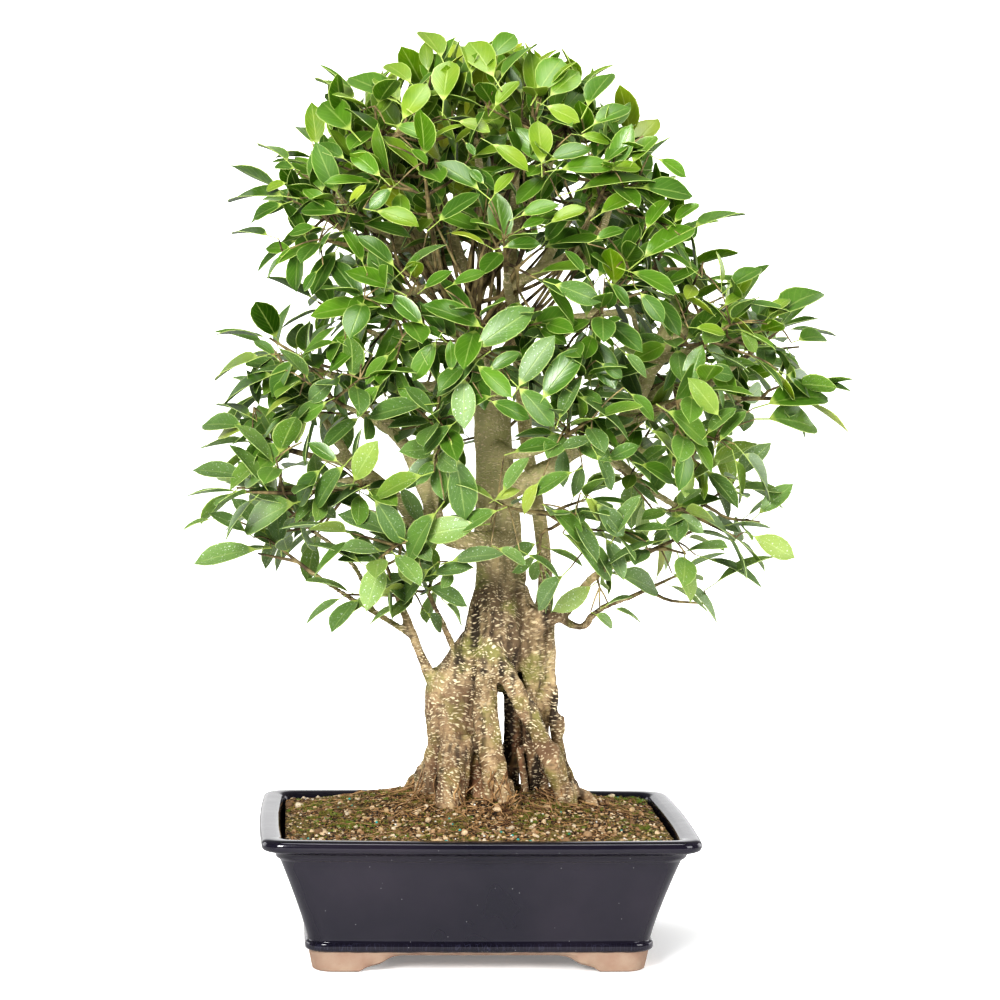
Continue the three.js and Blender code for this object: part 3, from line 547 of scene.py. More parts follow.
draw = random.Random(71)
gravel_shape = bmesh.new()
for count, sizes, tints, front_share in HANDFULS:
    natural = len(tints) > 1
    handful = bmesh.new()
    tint_layer = handful.verts.layers.float_color.new("tint")
    for _ in range(count):
        radius = draw.uniform(*sizes) ** (1.15 if natural else 1.0)
        if natural and draw.random() < BIG_STONE_SHARE:
            radius = draw.uniform(*BIG_STONES)
        ground = ground_at(*scatter(draw, front_share))
        squash = (1, draw.uniform(0.7, 1), draw.uniform(0.55, 0.85))
        if not natural:
            squash = (1, 1, 1)
        turn = Matrix.Rotation(draw.uniform(0, 2 * math.pi), 4, "Z") @ Matrix.Rotation(
            draw.uniform(-0.5, 0.5), 4, "X")
        made = bmesh.ops.create_icosphere(
            handful, subdivisions=2, radius=radius * MM,
            matrix=Matrix.Translation(ground + Vector((0, 0, radius * 0.25 * MM))) @ turn
            @ Matrix.Diagonal((*squash, 1)))["verts"]
        tint = Vector(draw.choice(tints)) * draw.uniform(0.8, 1.15)
        offset = Vector([draw.uniform(0, 90) for _ in range(3)])
        for corner in made:
            corner[tint_layer] = (*tint, 1)
            if natural:
                away = (corner.co - ground) / (radius * MM)
                corner.co += away * radius * MM * LUMPINESS * noise.noise(away * 1.3 + offset)
    join_to(gravel_shape, handful)
stone = Surface("gravel_and_grit")
add_piece("gravel", gravel_shape, [stone.finish(
    stone.over(stone.node("Attribute", {}, "Color", attribute_name="tint"), STONE_STAIN,
               (900, 4), 0.45, 0.7, 0.6),
    0.85, stone.grain(1300, 4), 0.0006)])

# The moss: low cushions of short upright blades, olive to fresh green, in the patches that
# the photograph shows and thinly everywhere else.
MOSS_PATCHES = [(-119, -66, 24, 46), (104, 62, 34, 50), (165, 112, 24, 34), (55, -64, 22, 30),
                (-160, 50, 30, 34), (-139, -10, 28, 30), (81, -18, 34, 34), (-46, -76, 40, 30),
                (-70, 25, 30, 26), (150, -60, 20, 20)]
MOSS_LOOSE = 260
MOSS_BLADES = (9, 16)
BLADE_HEIGHTS = (1.6, 3.8)
BLADE_RADII = (0.42, 0.05)
BLADE_SPREAD = 1.5
RIM_GAP = 4
MOSS_DARK = (0.15, 0.115, 0.030, 1)
MOSS_OLIVE = (0.32, 0.27, 0.065, 1)
MOSS_FRESH = (0.16, 0.25, 0.035, 1)
moss_shape = bmesh.new()
cushions = [(x + draw.gauss(0, spread / 2), y + draw.gauss(0, spread / 2), 1.0)
            for x, y, spread, count in MOSS_PATCHES for _ in range(count)]
cushions += [(*scatter(draw, 0.25, 8), 0.7) for _ in range(MOSS_LOOSE)]
for x, y, size in cushions:
    ground = ground_at(x, y)
    if ground is None or abs(x) > OPENING[0] / 2 - RIM_GAP or (
            abs(y) > OPENING[1] / 2 - RIM_GAP):
        continue
    fresh = draw.random()
    cushion = bmesh.new()
    moss_layer = cushion.verts.layers.float_color.new("tint")
    for _ in range(draw.randint(*MOSS_BLADES)):
        lean = Vector((draw.gauss(0, 0.5), draw.gauss(0, 0.5), 1)).normalized()
        height = draw.uniform(*BLADE_HEIGHTS) * size
        root = ground + MM * Vector((
            draw.gauss(0, BLADE_SPREAD), draw.gauss(0, BLADE_SPREAD), 0.35 * height))
        blade = bmesh.ops.create_cone(
            cushion, cap_ends=True, cap_tris=True, segments=3, radius1=BLADE_RADII[0] * MM,
            radius2=BLADE_RADII[1] * MM, depth=height * MM,
            matrix=Matrix.Translation(root) @ lean.to_track_quat("Z", "Y").to_matrix().to_4x4())
        shade_of = draw.uniform(0.75, 1.25)
        for corner in blade["verts"]:
            corner[moss_layer] = (fresh * shade_of, shade_of * 0.5, 0, 1)
    join_to(moss_shape, cushion)
green = Surface("living_moss")
age, lightness = green.node("SeparateColor", {
    0: green.node("Attribute", {}, "Color", attribute_name="tint")}).node.outputs[:2]
add_piece("moss", moss_shape, [green.finish(
    green.mix(green.ramp(age, 0.3, 0.9),
              green.mix(green.ramp(lightness, 0.35, 0.65), MOSS_DARK, MOSS_OLIVE), MOSS_FRESH),
    0.8, green.grain(900, 2), 0.0004)])

# The loose roots: orange-brown fibres that stand off the foot of the tree and lie over the
# soil, half a millimetre to a millimetre thick.
FIBRE_COUNT = 150
FIBRES_LYING = 190
FIBRE_STEP = 5.5
FIBRES_FROM = (15, 20)
FIBRES_REACH = (62, 48)
FIBRE_DARK = (0.10, 0.045, 0.020, 1)
FIBRE_TAN = (0.52, 0.34, 0.17, 1)


def round_stems(routes, turn_steps=1):
    """Closed round stems, each along a route of (place, radius), as a mesh."""
    line = bpy.data.curves.new("stems", "CURVE")
    line.dimensions = "3D"
    line.bevel_depth = 1
    line.bevel_resolution = turn_steps
    line.use_fill_caps = True
    for route in routes:
        spline = line.splines.new("POLY")
        spline.points.add(len(route) - 1)
        for point, (at, radius) in zip(spline.points, route):
            point.co = (*at, 1)
            point.radius = radius * MM
    holder = show("stems", line)
    mesh = bpy.data.meshes.new_from_object(
        holder.evaluated_get(bpy.context.evaluated_depsgraph_get()))
    bpy.data.objects.remove(holder)
    return mesh


fibre_routes = []
for rank in range(FIBRE_COUNT + FIBRES_LYING):
    angle = draw.uniform(0, 2 * math.pi)
    reach = draw.uniform(0.75, 1.25) if rank < FIBRE_COUNT else draw.uniform(1.1, 2.9)
    x = FIBRES_FROM[0] + FIBRES_REACH[0] * reach * math.cos(angle)
    y = FIBRES_FROM[1] + FIBRES_REACH[1] * reach * math.sin(angle)
    heading = angle + draw.uniform(-1.4, 1.4)
    rise = draw.choice((0, 0, 0, 12, 22)) * draw.random() * (rank < FIBRE_COUNT)
    route = []
    steps = draw.randint(6, 11)
    for step in range(steps):
        ground = ground_at(x, y)
        if ground is None:
            break
        hop = rise * (1 - step / (steps - 1)) ** 2 + 0.5 + 1.2 * draw.random()
        taper = (0.62 if rank < FIBRE_COUNT else 0.5) - 0.35 * step / steps
        route.append((ground + Vector((0, 0, hop * MM)), taper))
        heading += draw.gauss(0, 0.4)
        x += FIBRE_STEP * math.cos(heading)
        y += FIBRE_STEP * math.sin(heading)
    if len(route) > 3:
        fibre_routes.append(route)
fibre_shape = bmesh.new()
fibre_shape.from_mesh(round_stems(fibre_routes))
fibre = Surface("root_fibre")
fibre_stuff = fibre.finish(
    fibre.over(FIBRE_DARK, FIBRE_TAN, (120, 3), 0.35, 0.65), 0.75, fibre.grain(1500, 2), 0.0003)
add_piece("root_fibres", fibre_shape, [fibre_stuff])

# The tree's wood, grown as one piece under one bark: the leaning trunk and its swollen left
# flare, the aerial roots, and the branches with their cut stubs. Each follows places
# [x, y, z, radius] in millimetres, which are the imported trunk's, but for the inner roots.
TRUNK = [
    [19, 28, 246, 17], [20, 25, 272, 25], [22, 22, 305, 25.5], [22, 20, 345, 23],
    [20, 18, 385, 20.5], [17, 17, 430, 18], [15, 18, 475, 17.5], [12, 20, 510, 17],
    [3, 22, 548, 15.5], [-6, 24, 584, 13], [-14, 26, 614, 10],
]
ROOTS = [
    # the swollen left flare
    [[6, 20, 305, 12], [-8, 18, 276, 19], [-21, 18, 240, 26], [-22, 20, 208, 25],
        [-22, 24, 180, 21], [-36, 34, 158, 17], [-52, 44, 138, 13], [-66, 52, 112, 9]],
    # its front foot
    [[-16, 6, 200, 18], [-22, -8, 168, 15], [-26, -22, 138, 12], [-30, -34, 104, 8]],
    # the strand that climbs the left side of the trunk
    [[6, 12, 350, 6], [-2, 8, 318, 7], [-8, 7, 288, 8], [-18, 9, 258, 8]],
    # the central root
    [[14, 12, 330, 10], [9, 4, 278, 12], [10, -2, 232, 11.5], [14, -4, 192, 10.5],
        [21, -6, 160, 11], [25, -8, 136, 10.5], [28, -10, 104, 8]],
    # the pale diagonal root and its forked foot
    [[12, 4, 296, 9], [28, -2, 264, 9], [42, -4, 243, 8], [57, -6, 219, 7.5], [69, -6, 192, 7],
        [81, -4, 165, 7], [91, -2, 144, 7.5], [98, 0, 106, 5]],
    [[84, -2, 160, 5.5], [98, 6, 149, 5.5], [112, 12, 140, 5.5], [124, 18, 108, 4]],
    # the right column of fused roots
    [[42, 24, 344, 8], [55, 22, 304, 10], [58, 22, 266, 9.5], [54, 26, 235, 7], [55, 30, 200, 5],
        [57, 34, 160, 5], [58, 38, 106, 4]],
    [[62, 32, 326, 7], [70, 28, 292, 8.5], [70, 28, 256, 8.5], [65, 32, 226, 6], [65, 40, 190, 5],
        [68, 46, 155, 5], [70, 50, 106, 4]],
    [[72, 26, 268, 5], [76, 24, 238, 4], [80, 22, 212, 3.6], [86, 20, 182, 3.8], [95, 20, 154, 4.5],
        [102, 22, 108, 3.5]],
    # the thin root inside the gap
    [[28, 34, 264, 7], [32, 40, 236, 3.4], [33, 42, 205, 3], [34, 44, 165, 3.5], [35, 46, 110, 3]],
    # the roots at the back
    [[10, 40, 284, 17], [0, 54, 232, 15], [-8, 64, 185, 13], [-14, 76, 150, 11], [-20, 90, 108, 8]],
    [[34, 44, 280, 15], [52, 58, 232, 11], [58, 70, 185, 9], [62, 82, 148, 9], [66, 96, 106, 6.5]],
]
INNER_ROOTS = [
    # the thinner roots that close the hollow under the trunk
    [[-4, 14, 240, 11], [-6, 13, 205, 10.5], [-6, 12, 172, 10], [-3, 10, 140, 9],
        [-2, 8, 106, 9]],
    [[16, 34, 222, 6], [20, 36, 194, 8], [21, 36, 150, 9], [22, 34, 106, 9]],
    [[46, 40, 262, 8], [41, 44, 228, 7.5], [40, 46, 196, 9], [35, 46, 154, 10], [33, 44, 106, 10]],
    [[58, 38, 252, 7], [59, 42, 215, 7.5], [59, 46, 175, 8.5], [58, 46, 106, 8]],
    [[-34, 16, 186, 12], [-44, 14, 150, 11], [-54, 10, 106, 9]],
    [[10, 8, 170, 7], [4, -4, 140, 6], [0, -12, 106, 5.5]],
    [[44, 26, 190, 4], [50, 18, 150, 4], [52, 12, 106, 3.6]],
]
BARE_BRANCHES = [
    # the second stem behind the trunk, and the bridge to it
    [[62, 30, 305, 9], [68, 44, 335, 7], [68, 54, 372, 7], [62, 60, 420, 6.5], [52, 62, 470, 6.5],
        [46, 60, 520, 7], [42, 54, 560, 7.5], [36, 46, 596, 7], [31, 41, 638, 6.5]],
    [[38, 16, 324, 5], [58, 12, 322, 3.8], [76, 10, 319, 4.2]],
    # the left leader
    [[-12, 26, 604, 10.5], [-30, 26, 634, 8.5], [-48, 24, 660, 7.5], [-64, 24, 686, 6.5]],
    # the thick right branch and its cut stubs
    [[22, 14, 434, 10], [52, 4, 452, 9], [82, 2, 472, 8.5], [112, 6, 490, 8], [140, 12, 508, 7.5],
        [156, 16, 534, 7.5], [166, 18, 560, 7], [178, 20, 592, 6], [187, 20, 620, 5]],
    [[164, 18, 552, 6], [186, 14, 582, 5], [206, 10, 610, 4.5]],
    # the thin level branch with its cut end
    [[38, 46, 598, 5], [72, 30, 603, 4], [108, 18, 608, 3.6], [146, 10, 613, 3.2]],
    [[145, 10, 615, 3], [150, 6, 592, 2.6], [152, 4, 572, 2.4]],
    # the low right branch with its loop
    [[50, 20, 294, 8], [64, 14, 310, 6.5], [82, 8, 320, 5.5], [97, 4, 337, 4.6]],
    [[80, 10, 317, 4.4], [92, 8, 310, 3.8], [104, 6, 309, 3.6], [111, 5, 320, 3.4]],
    # the thick left branch that crosses the front of the trunk, and its cut stub
    [[32, 10, 392, 9], [6, -8, 392, 10], [-22, -12, 393, 9], [-52, -10, 408, 8], [-80, -2, 432, 7]],
    [[-50, -6, 436, 5], [-46, -12, 452, 4.6], [-41, -16, 460, 4.4]],
]
BRANCHES = [
    # left, from the lowest tier up
    [[-38, 16, 248, 6.5], [-51, 14, 275, 4.6], [-62, 10, 302, 4.2], [-72, 4, 326, 3.6]],
    [[-64, 8, 300, 3.4], [-92, 4, 318, 2.8], [-126, 2, 338, 2.5], [-160, 4, 360, 2.3]],
    [[-100, 3, 322, 2.8], [-110, 8, 352, 2.5], [-128, 14, 376, 2.4], [-158, 20, 398, 2.2]],
    [[-12, 12, 270, 5.5], [-24, 6, 292, 3.2], [-34, -4, 314, 2.8], [-42, -14, 330, 2.5]],
    [[-76, -2, 428, 7], [-104, 6, 452, 6], [-132, 10, 466, 5], [-160, 14, 470, 3.4]],
    [[-98, 4, 448, 5.5], [-122, 26, 446, 4], [-152, 48, 440, 3.2], [-178, 62, 436, 2.6]],
    [[-92, 4, 444, 5.5], [-116, -20, 444, 4], [-146, -38, 440, 3.2], [-174, -48, 438, 2.6]],
    [[-120, 10, 462, 5], [-138, 16, 490, 4.2], [-152, 22, 510, 3.4], [-165, 24, 526, 2.6]],
    [[-32, -11, 396, 7.5], [-48, -8, 428, 7], [-60, -2, 458, 6.5], [-74, 4, 486, 5.5],
        [-98, 8, 516, 4.6], [-124, 8, 538, 3.6], [-148, 4, 550, 2.8]],
    [[-66, 2, 474, 5.5], [-84, -26, 494, 4.4], [-108, -56, 510, 3.4], [-132, -80, 522, 2.6]],
    [[-34, -12, 400, 4.6], [-44, -24, 440, 3.4], [-44, -40, 474, 2.8], [-44, -58, 492, 2.4]],
    [[-56, -9, 412, 5], [-66, -34, 402, 3.4], [-76, -58, 394, 2.6]],
    [[-50, -6, 404, 6], [-80, 40, 408, 4.6], [-104, 80, 412, 3.6], [-122, 112, 418, 2.6]],
    [[-3, 22, 570, 7], [-36, 12, 576, 4.8], [-74, 6, 576, 4], [-106, 6, 590, 2.8]],
    [[2, 26, 540, 8], [-34, 66, 536, 5.6], [-72, 96, 536, 4.4], [-112, 118, 540, 3.2]],
    [[-8, 28, 580, 7], [-38, 74, 600, 5], [-66, 108, 624, 4], [-90, 134, 646, 3]],
    # left crown
    [[-58, 24, 676, 6.5], [-80, 24, 704, 5.5], [-96, 22, 728, 4.4], [-104, 20, 752, 3]],
    [[-50, 24, 662, 5.5], [-80, 20, 678, 4.8], [-106, 16, 692, 4], [-130, 14, 698, 3]],
    [[-100, 18, 686, 4.2], [-124, 40, 704, 3.6], [-140, 60, 726, 2.8]],
    [[-66, 22, 670, 4.6], [-92, -14, 668, 3.8], [-116, -44, 668, 3]],
    [[-38, 24, 646, 5.4], [-44, -10, 662, 4.4], [-50, -44, 684, 3.4], [-54, -66, 704, 2.6]],
    [[-90, 24, 718, 4.4], [-96, -6, 736, 3.4], [-100, -34, 756, 2.6]],
    [[-68, 26, 692, 4.8], [-74, 62, 712, 4], [-80, 96, 730, 3]],
    # top
    [[-10, 28, 606, 8], [2, 30, 640, 7], [4, 30, 686, 6], [0, 28, 730, 4.8], [-6, 26, 776, 3]],
    [[-4, 30, 626, 6], [-22, 24, 670, 5], [-36, 14, 714, 4], [-44, 4, 752, 2.8]],
    [[29, 38, 664, 5], [44, 34, 704, 4.5], [60, 30, 738, 4], [72, 26, 768, 2.8]],
    [[4, 30, 700, 5], [22, 4, 726, 4.2], [34, -22, 750, 3.4], [40, -44, 770, 2.6]],
    [[6, 32, 680, 5.4], [12, 66, 714, 4.4], [14, 96, 744, 3.2]],
    [[30, 42, 636, 6.5], [32, 40, 690, 5.4], [34, 50, 736, 4.2], [36, 60, 776, 2.8]],
    # right crown
    [[28, 42, 632, 6.8], [54, 36, 648, 6], [84, 30, 662, 5.5], [112, 26, 684, 4.6],
        [126, 24, 716, 2.9]],
    [[88, 30, 664, 4.8], [120, 32, 654, 4], [156, 32, 652, 3]],
    [[84, 26, 660, 5], [90, -8, 676, 4.2], [96, -40, 694, 3.4], [102, -66, 710, 2.6]],
    [[60, 38, 652, 5.4], [74, 74, 672, 4.6], [88, 106, 692, 3.6], [100, 130, 712, 2.6]],
    [[34, 44, 612, 6], [28, 4, 622, 5], [22, -36, 636, 4], [18, -72, 650, 2.8]],
    [[42, 54, 556, 7], [72, 86, 578, 5.4], [104, 116, 600, 4.2], [132, 138, 620, 3]],
    # right tiers
    [[170, 18, 570, 5.6], [190, 34, 580, 4.4], [208, 44, 592, 3.4]],
    [[146, 14, 514, 5.6], [176, 16, 520, 5], [212, 22, 536, 4.2], [250, 28, 562, 2.8]],
    [[206, 20, 534, 4.2], [230, 12, 532, 3.4], [254, 6, 530, 2.6]],
    [[170, 18, 566, 5], [188, -16, 572, 4], [204, -46, 582, 2.9]],
    [[138, 10, 506, 5.6], [156, -26, 514, 4.4], [174, -58, 524, 3]],
    [[150, 14, 520, 5.6], [170, 52, 530, 4.4], [190, 88, 542, 3.2]],
    [[108, 4, 488, 5.4], [136, -6, 466, 4.2], [164, -12, 442, 3.4], [190, -14, 426, 2.7]],
    [[124, 8, 496, 5.4], [158, 18, 478, 4.4], [190, 26, 466, 3.2]],
    [[112, 10, 488, 5.4], [128, 46, 470, 4.4], [142, 80, 458, 3.2]],
    [[96, 4, 334, 4.6], [108, 0, 354, 3.9], [132, -6, 370, 3.2], [162, -10, 382, 2.5]],
    [[110, 5, 318, 3.4], [124, 10, 328, 3], [148, 16, 336, 2.5]],
    # front and back of the middle
    [[14, 10, 480, 8], [32, -32, 476, 5.2], [52, -62, 482, 4.2], [68, -88, 492, 3]],
    [[2, 18, 556, 8], [2, -32, 562, 5.4], [-4, -66, 572, 4.2], [-8, -98, 584, 3]],
    [[16, 24, 436, 9], [22, 72, 446, 6.4], [30, 110, 464, 5], [36, 144, 484, 3.2]],
    [[20, 10, 432, 7], [40, -26, 424, 4.4], [54, -50, 422, 3]],
    [[80, 28, 604, 4], [88, -8, 602, 3.6], [92, -46, 600, 3.2], [96, -76, 602, 2.6]],
    [[-32, 26, 636, 6], [-56, -12, 630, 4.4], [-76, -50, 626, 3.4], [-92, -82, 622, 2.6]],
    [[40, 54, 584, 6], [30, 92, 606, 4.6], [20, 122, 630, 3.6], [12, 146, 650, 2.8]],
    [[-30, 62, 536, 5], [-40, 98, 552, 4], [-46, 128, 572, 3.4], [-48, 150, 590, 2.7]],
]
WOOD_CELL = 2.35
WOOD_STEP = 7
STRAND_COUNT = 84
STRAND_STEP = 7
STRAND_FOOT = 106
STRAND_GIRTHS = (1.8, 4.2)
HAIR_COUNT = 170
HAIR_GIRTHS = (0.35, 0.8)
HAIR_REACH = (70, 45)
HAIR_HEIGHTS = (114, 178)
BARK_PALE = (0.42, 0.315, 0.185, 1)
BARK_OLIVE = (0.150, 0.106, 0.052, 1)
BARK_WRINKLE = (0.62, 0.50, 0.31, 1)
UPPER_BARK_PAINTED_LIGHT = (0.66, 0.61, 0.33, 1)
BARK_BROWN = (0.110, 0.072, 0.042, 1)
BARK_RED = (0.26, 0.125, 0.065, 1)
LICHEN = (0.21, 0.215, 0.060, 1)
LENTICEL = (0.86, 0.74, 0.52, 1)
PAINTED_CREVICE_SHADE = (0.022, 0.013, 0.008, 1)


def held(value):
    """value, held between 0 and 1."""
    return max(0, min(1, value))


def smooth_route(points, step=WOOD_STEP, placed=True):
    """A smooth line through the points, as rows of (place, radius in millimetres)."""
    knots = [Vector(point[:3]) for point in points]
    knots = [2 * knots[0] - knots[1], *knots, 2 * knots[-1] - knots[-2]]
    line = []
    for i in range(1, len(knots) - 2):
        before, first, second, after = knots[i - 1:i + 3]
        pieces = max(1, round((second - first).length / step))
        for piece in range(pieces + (i == len(knots) - 3)):
            part = piece / pieces
            at = 0.5 * (
                2 * first + (second - before) * part
                + (2 * before - 5 * first + 4 * second - after) * part ** 2
                + (3 * first - before - 3 * second + after) * part ** 3)
            radius = points[i - 1][3] + (points[i][3] - points[i - 1][3]) * part
            line.append((place(*at) if placed else at, radius))
    return line


thick_routes = [smooth_route(points) for points in [TRUNK, *ROOTS, *INNER_ROOTS]]
thin_routes = [smooth_route(points) for points in BARE_BRANCHES + BRANCHES]
rough_wood = bmesh.new()
rough_wood.from_mesh(round_stems(thick_routes, 5))
heartwood = BVHTree.FromBMesh(rough_wood)
rough_wood.free()


def creep(spot, girth, drift, sway, longest, jump, lift, pace, unit=MM):
    """A root's way down over the wood, until it is too long or has to jump a gap.

    It lies off the wood by what lift() says, and one step is pace units long.
    """
    route = []
    while spot.z > STRAND_FOOT * MM and len(route) < longest:
        near, outward, _, away = heartwood.find_nearest(spot)
        if route and away > jump * MM:
            break
        spot = near + outward * lift() * MM
        route.append((spot.copy(), girth))
        drift = 0.8 * drift + draw.gauss(0, sway)
        sideways = outward.cross(Vector((0, 0, 1)))
        spot = spot + (Vector((0, 0, -1)) + sideways * drift).normalized() * pace * unit
    return route


# Thin roots creep down over the trunk and the thick roots, and have grown into them
draw = random.Random(29)
strand_routes = []
for _ in range(STRAND_COUNT):
    start = draw.choice(draw.choice(thick_routes)[1:])[0]
    angle = draw.uniform(0, 2 * math.pi)
    girth = draw.uniform(*STRAND_GIRTHS)
    route = creep(
        start + Vector((math.cos(angle), math.sin(angle), 0)) * 0.05, girth,
        drift=draw.uniform(-0.5, 0.5), sway=0.16, longest=40, jump=STRAND_STEP,
        lift=lambda: girth * 0.25, pace=STRAND_STEP)
    strand_routes += [route] if len(route) > 5 else []

# Brown hair roots cling to the foot of the wood
hair_routes = []
for _ in range(HAIR_COUNT):
    angle = draw.uniform(0, 2 * math.pi)
    spot = place(FIBRES_FROM[0] + HAIR_REACH[0] * math.cos(angle),
                 FIBRES_FROM[1] + HAIR_REACH[1] * math.sin(angle), draw.uniform(*HAIR_HEIGHTS))
    drift = draw.uniform(-1, 1)
    route = creep(
        spot, draw.uniform(*HAIR_GIRTHS), drift, sway=0.4, longest=22, jump=1.6 * STRAND_STEP,
        lift=lambda: draw.uniform(1.4, 3.4), pace=0.8, unit=STRAND_STEP * MM)
    hair_routes += [route] if len(route) > 3 else []
hair_shape = bmesh.new()
hair_shape.from_mesh(round_stems(hair_routes))
add_piece("hair_roots", hair_shape, [fibre_stuff])

wood_shape = one_skin(
    show("stems", round_stems(thick_routes + thin_routes + strand_routes, 5)), WOOD_CELL)
bmesh.ops.smooth_vert(
    wood_shape, verts=wood_shape.verts, factor=0.5, use_axis_x=True, use_axis_y=True,
    use_axis_z=True)
rows = [row for route in thick_routes + thin_routes for row in route]
girths = KDTree(len(rows))
for rank, (at, _) in enumerate(rows):
    girths.insert(at, rank)
girths.balance()
# the "bark" attribute holds the bark's painted light and shade, and its red stain
painted_shade_and_red_layer = wood_shape.verts.layers.float_color.new("bark")
wood_shape.normal_update()
moves = []
for corner in wood_shape.verts:
    at = corner.co / MM
    x, y, z = (corner.co - POT_MIDDLE) / MM
    radius = rows[girths.find(corner.co)[1]][1]
    ropes = 1 - 2 * abs(noise.noise(Vector((at.x * 0.085, at.y * 0.085, at.z * 0.016))))
    knots = noise.noise(at * 0.055)
    wrinkles = noise.noise(Vector((at.x * 0.10, at.y * 0.10, at.z * 0.42)))
    lift = min(radius / 14, 1) * (2.0 * (ropes - 0.5) + 1.6 * knots + 0.45 * wrinkles) + 0.15
    lift += 0.35 * noise.noise(at * 0.3)
    # reddish low down, most on the thin roots, and least on the right of the pale one
    red = held((265 - at.z) / 90) * (0.9 if radius < 9.5 else 0.3) * (0.35 if x > 48 else 1)
    # painted shade inside the arch of the roots, and where the trunk's ropes meet above it
    hollow = (-14 < x < 66 and corner.normal.y < 0.4) * held((y - 15) / 16) * (
        held((242 - z) / 20))
    shaded = (corner.normal.y < 0.3) * max(0, 1 - ((x - 6) / 28) ** 2 - ((z - 298) / 62) ** 2)
    # painted light and shade: darker in the grooves between the ropes and wrinkles, and in the
    # painted shade above
    light = held(0.5 + 0.5 * (ropes - 0.5) + 0.3 * wrinkles - 0.32 * max(hollow, shaded))
    moves.append((corner, corner.normal * lift * MM, (light, red, 0, 1)))
for corner, move, painted_shade_and_red in moves:
    corner.co += move
    corner[painted_shade_and_red_layer] = painted_shade_and_red

bark = Surface("spotted_fig_bark")
painted_light_level, reddened = bark.node("SeparateColor", {
    0: bark.node("Attribute", {}, "Color", attribute_name="bark")}).node.outputs[:2]
skin = bark.over(BARK_OLIVE, BARK_PALE, (55, 5, (1, 1, 0.45)), 0.38, 0.57)
skin = bark.over(skin, BARK_WRINKLE, (120, 4, (1, 1, 3.2)), 0.52, 0.60, 0.55)
skin = bark.over(skin, BARK_BROWN, (230, 5), 0.54, 0.62, 0.6)
skin = bark.over(skin, BARK_BROWN, (28, 4, (1, 1, 0.6)), 0.46, 0.62, 0.85)
skin = bark.over(skin, LICHEN, (33, 6), 0.50, 0.62, 0.75)
skin = bark.mix(
    bark.math("MULTIPLY", reddened, bark.ramp(bark.grain(18, 3), 0.35, 0.6, 0.25, 0.95)),
    skin, BARK_RED)
# painted shade in the grooves between the ropes, inside the arch of the roots and where the ropes
# meet
skin = bark.mix(bark.ramp(painted_light_level, 0.42, 0.08, 0, 0.92), skin, PAINTED_CREVICE_SHADE)
# painted shade in thin upright crevices
skin = bark.over(skin, PAINTED_CREVICE_SHADE, (75, 4, (1, 1, 0.10)), 0.57, 0.66, 0.75)
# painted light: the upper trunk, which the canopy shades, is made paler
skin = bark.mix(
    bark.ramp(bark.node("SeparateXYZ", {0: bark.where()}, "Z"), 0.34, 0.44, 0, 0.6),
    skin, UPPER_BARK_PAINTED_LIGHT)
# the lenticels: short lying dashes and small dots, thicker in some places than in others
warped = bark.node("VectorMath", {
    0: bark.node("TexNoise", {"Vector": bark.where(), "Scale": 16.0, "Detail": 3.0}, 1),
    1: (0.045, 0.045, 0.045), 2: bark.where()}, operation="MULTIPLY_ADD")
marks = []
for stretch, turn, scale, chance, strength in (
        (3.2, 0.3, 165.0, 0.38, 1.0), (1.5, 0.0, 310.0, 0.56, 0.8)):
    middle, tint = bark.cells(scale, bark.node("Mapping", {
        "Vector": warped, "Rotation": (0, turn, 0), "Scale": (1, 1, stretch)}))
    marks.append(bark.math(
        "MULTIPLY", bark.ramp(bark.node("SeparateColor", {0: tint}), chance, chance + 0.02),
        bark.ramp(middle, 0.42, 0.26, 0, strength)))
lenticels = bark.math(
    "MULTIPLY", bark.math("MAXIMUM", *marks), bark.ramp(bark.grain(24, 3), 0.36, 0.60, 0.40, 1))
relief = bark.math(
    "ADD", bark.grain(330, 6, (1, 1, 0.5)), bark.math("MULTIPLY", lenticels, 0.6))
wood_piece = add_piece("grown_wood", wood_shape, [bark.finish(
    bark.mix(lenticels, skin, LENTICEL), 0.78, relief, 0.0016)])
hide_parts("trunk")

# The leafy shoots at the branch ends: fig leaves on short yellow-green stalks, in spirals
# that crowd towards the tip, fresh and paler at the crown, where painted backlight adds to it,
# dark and dusty lower down, with a painted sheen over the dust. The packed shoots and leaves
# are found again here, and keep their places.
YOUNG_SPRAYS = {17, 19, *range(22, 31)}
LONE_SPRAYS = {2, 4, 38, 46}
FIT_GAP = 0.35
TWIG_RADIUS = 1.7
SHOOT_LENGTH = 56
YOUNG_LIFT = 0.35
OLD_LIFT = 0.1
OLD_DROOP = 0.2
LEAVES_PER_SHOOT = 4
SIDE_START = 0.22
SIDE_LENGTH = 52
SIDE_LEAN = 1.15
SIDE_TRIES = 9
LEAVES_PER_SIDE = 3
LEAF_STEP = 0.15
LEAF_TURNS = (0, 0.5, -0.5, 1, -1, 1.6, -1.6)
LEAF_LENGTH = 54
LEAF_WIDTH = 0.42
LEAF_THICK = 0.5
GOLDEN_ANGLE = 2.39996
SEED = 4242
MATCHED = 2.0
LEAF_ROWS = [(0, 0.045), (0.17, 0.042), (0.225, 0.27), (0.33, 0.66), (0.46, 0.93),
             (0.60, 1.0), (0.74, 0.92), (0.86, 0.63), (0.945, 0.24), (1, 0)]
STALK_SHARE = 0.20
FAN_TWIGS = 3
FAN_FROM = 670


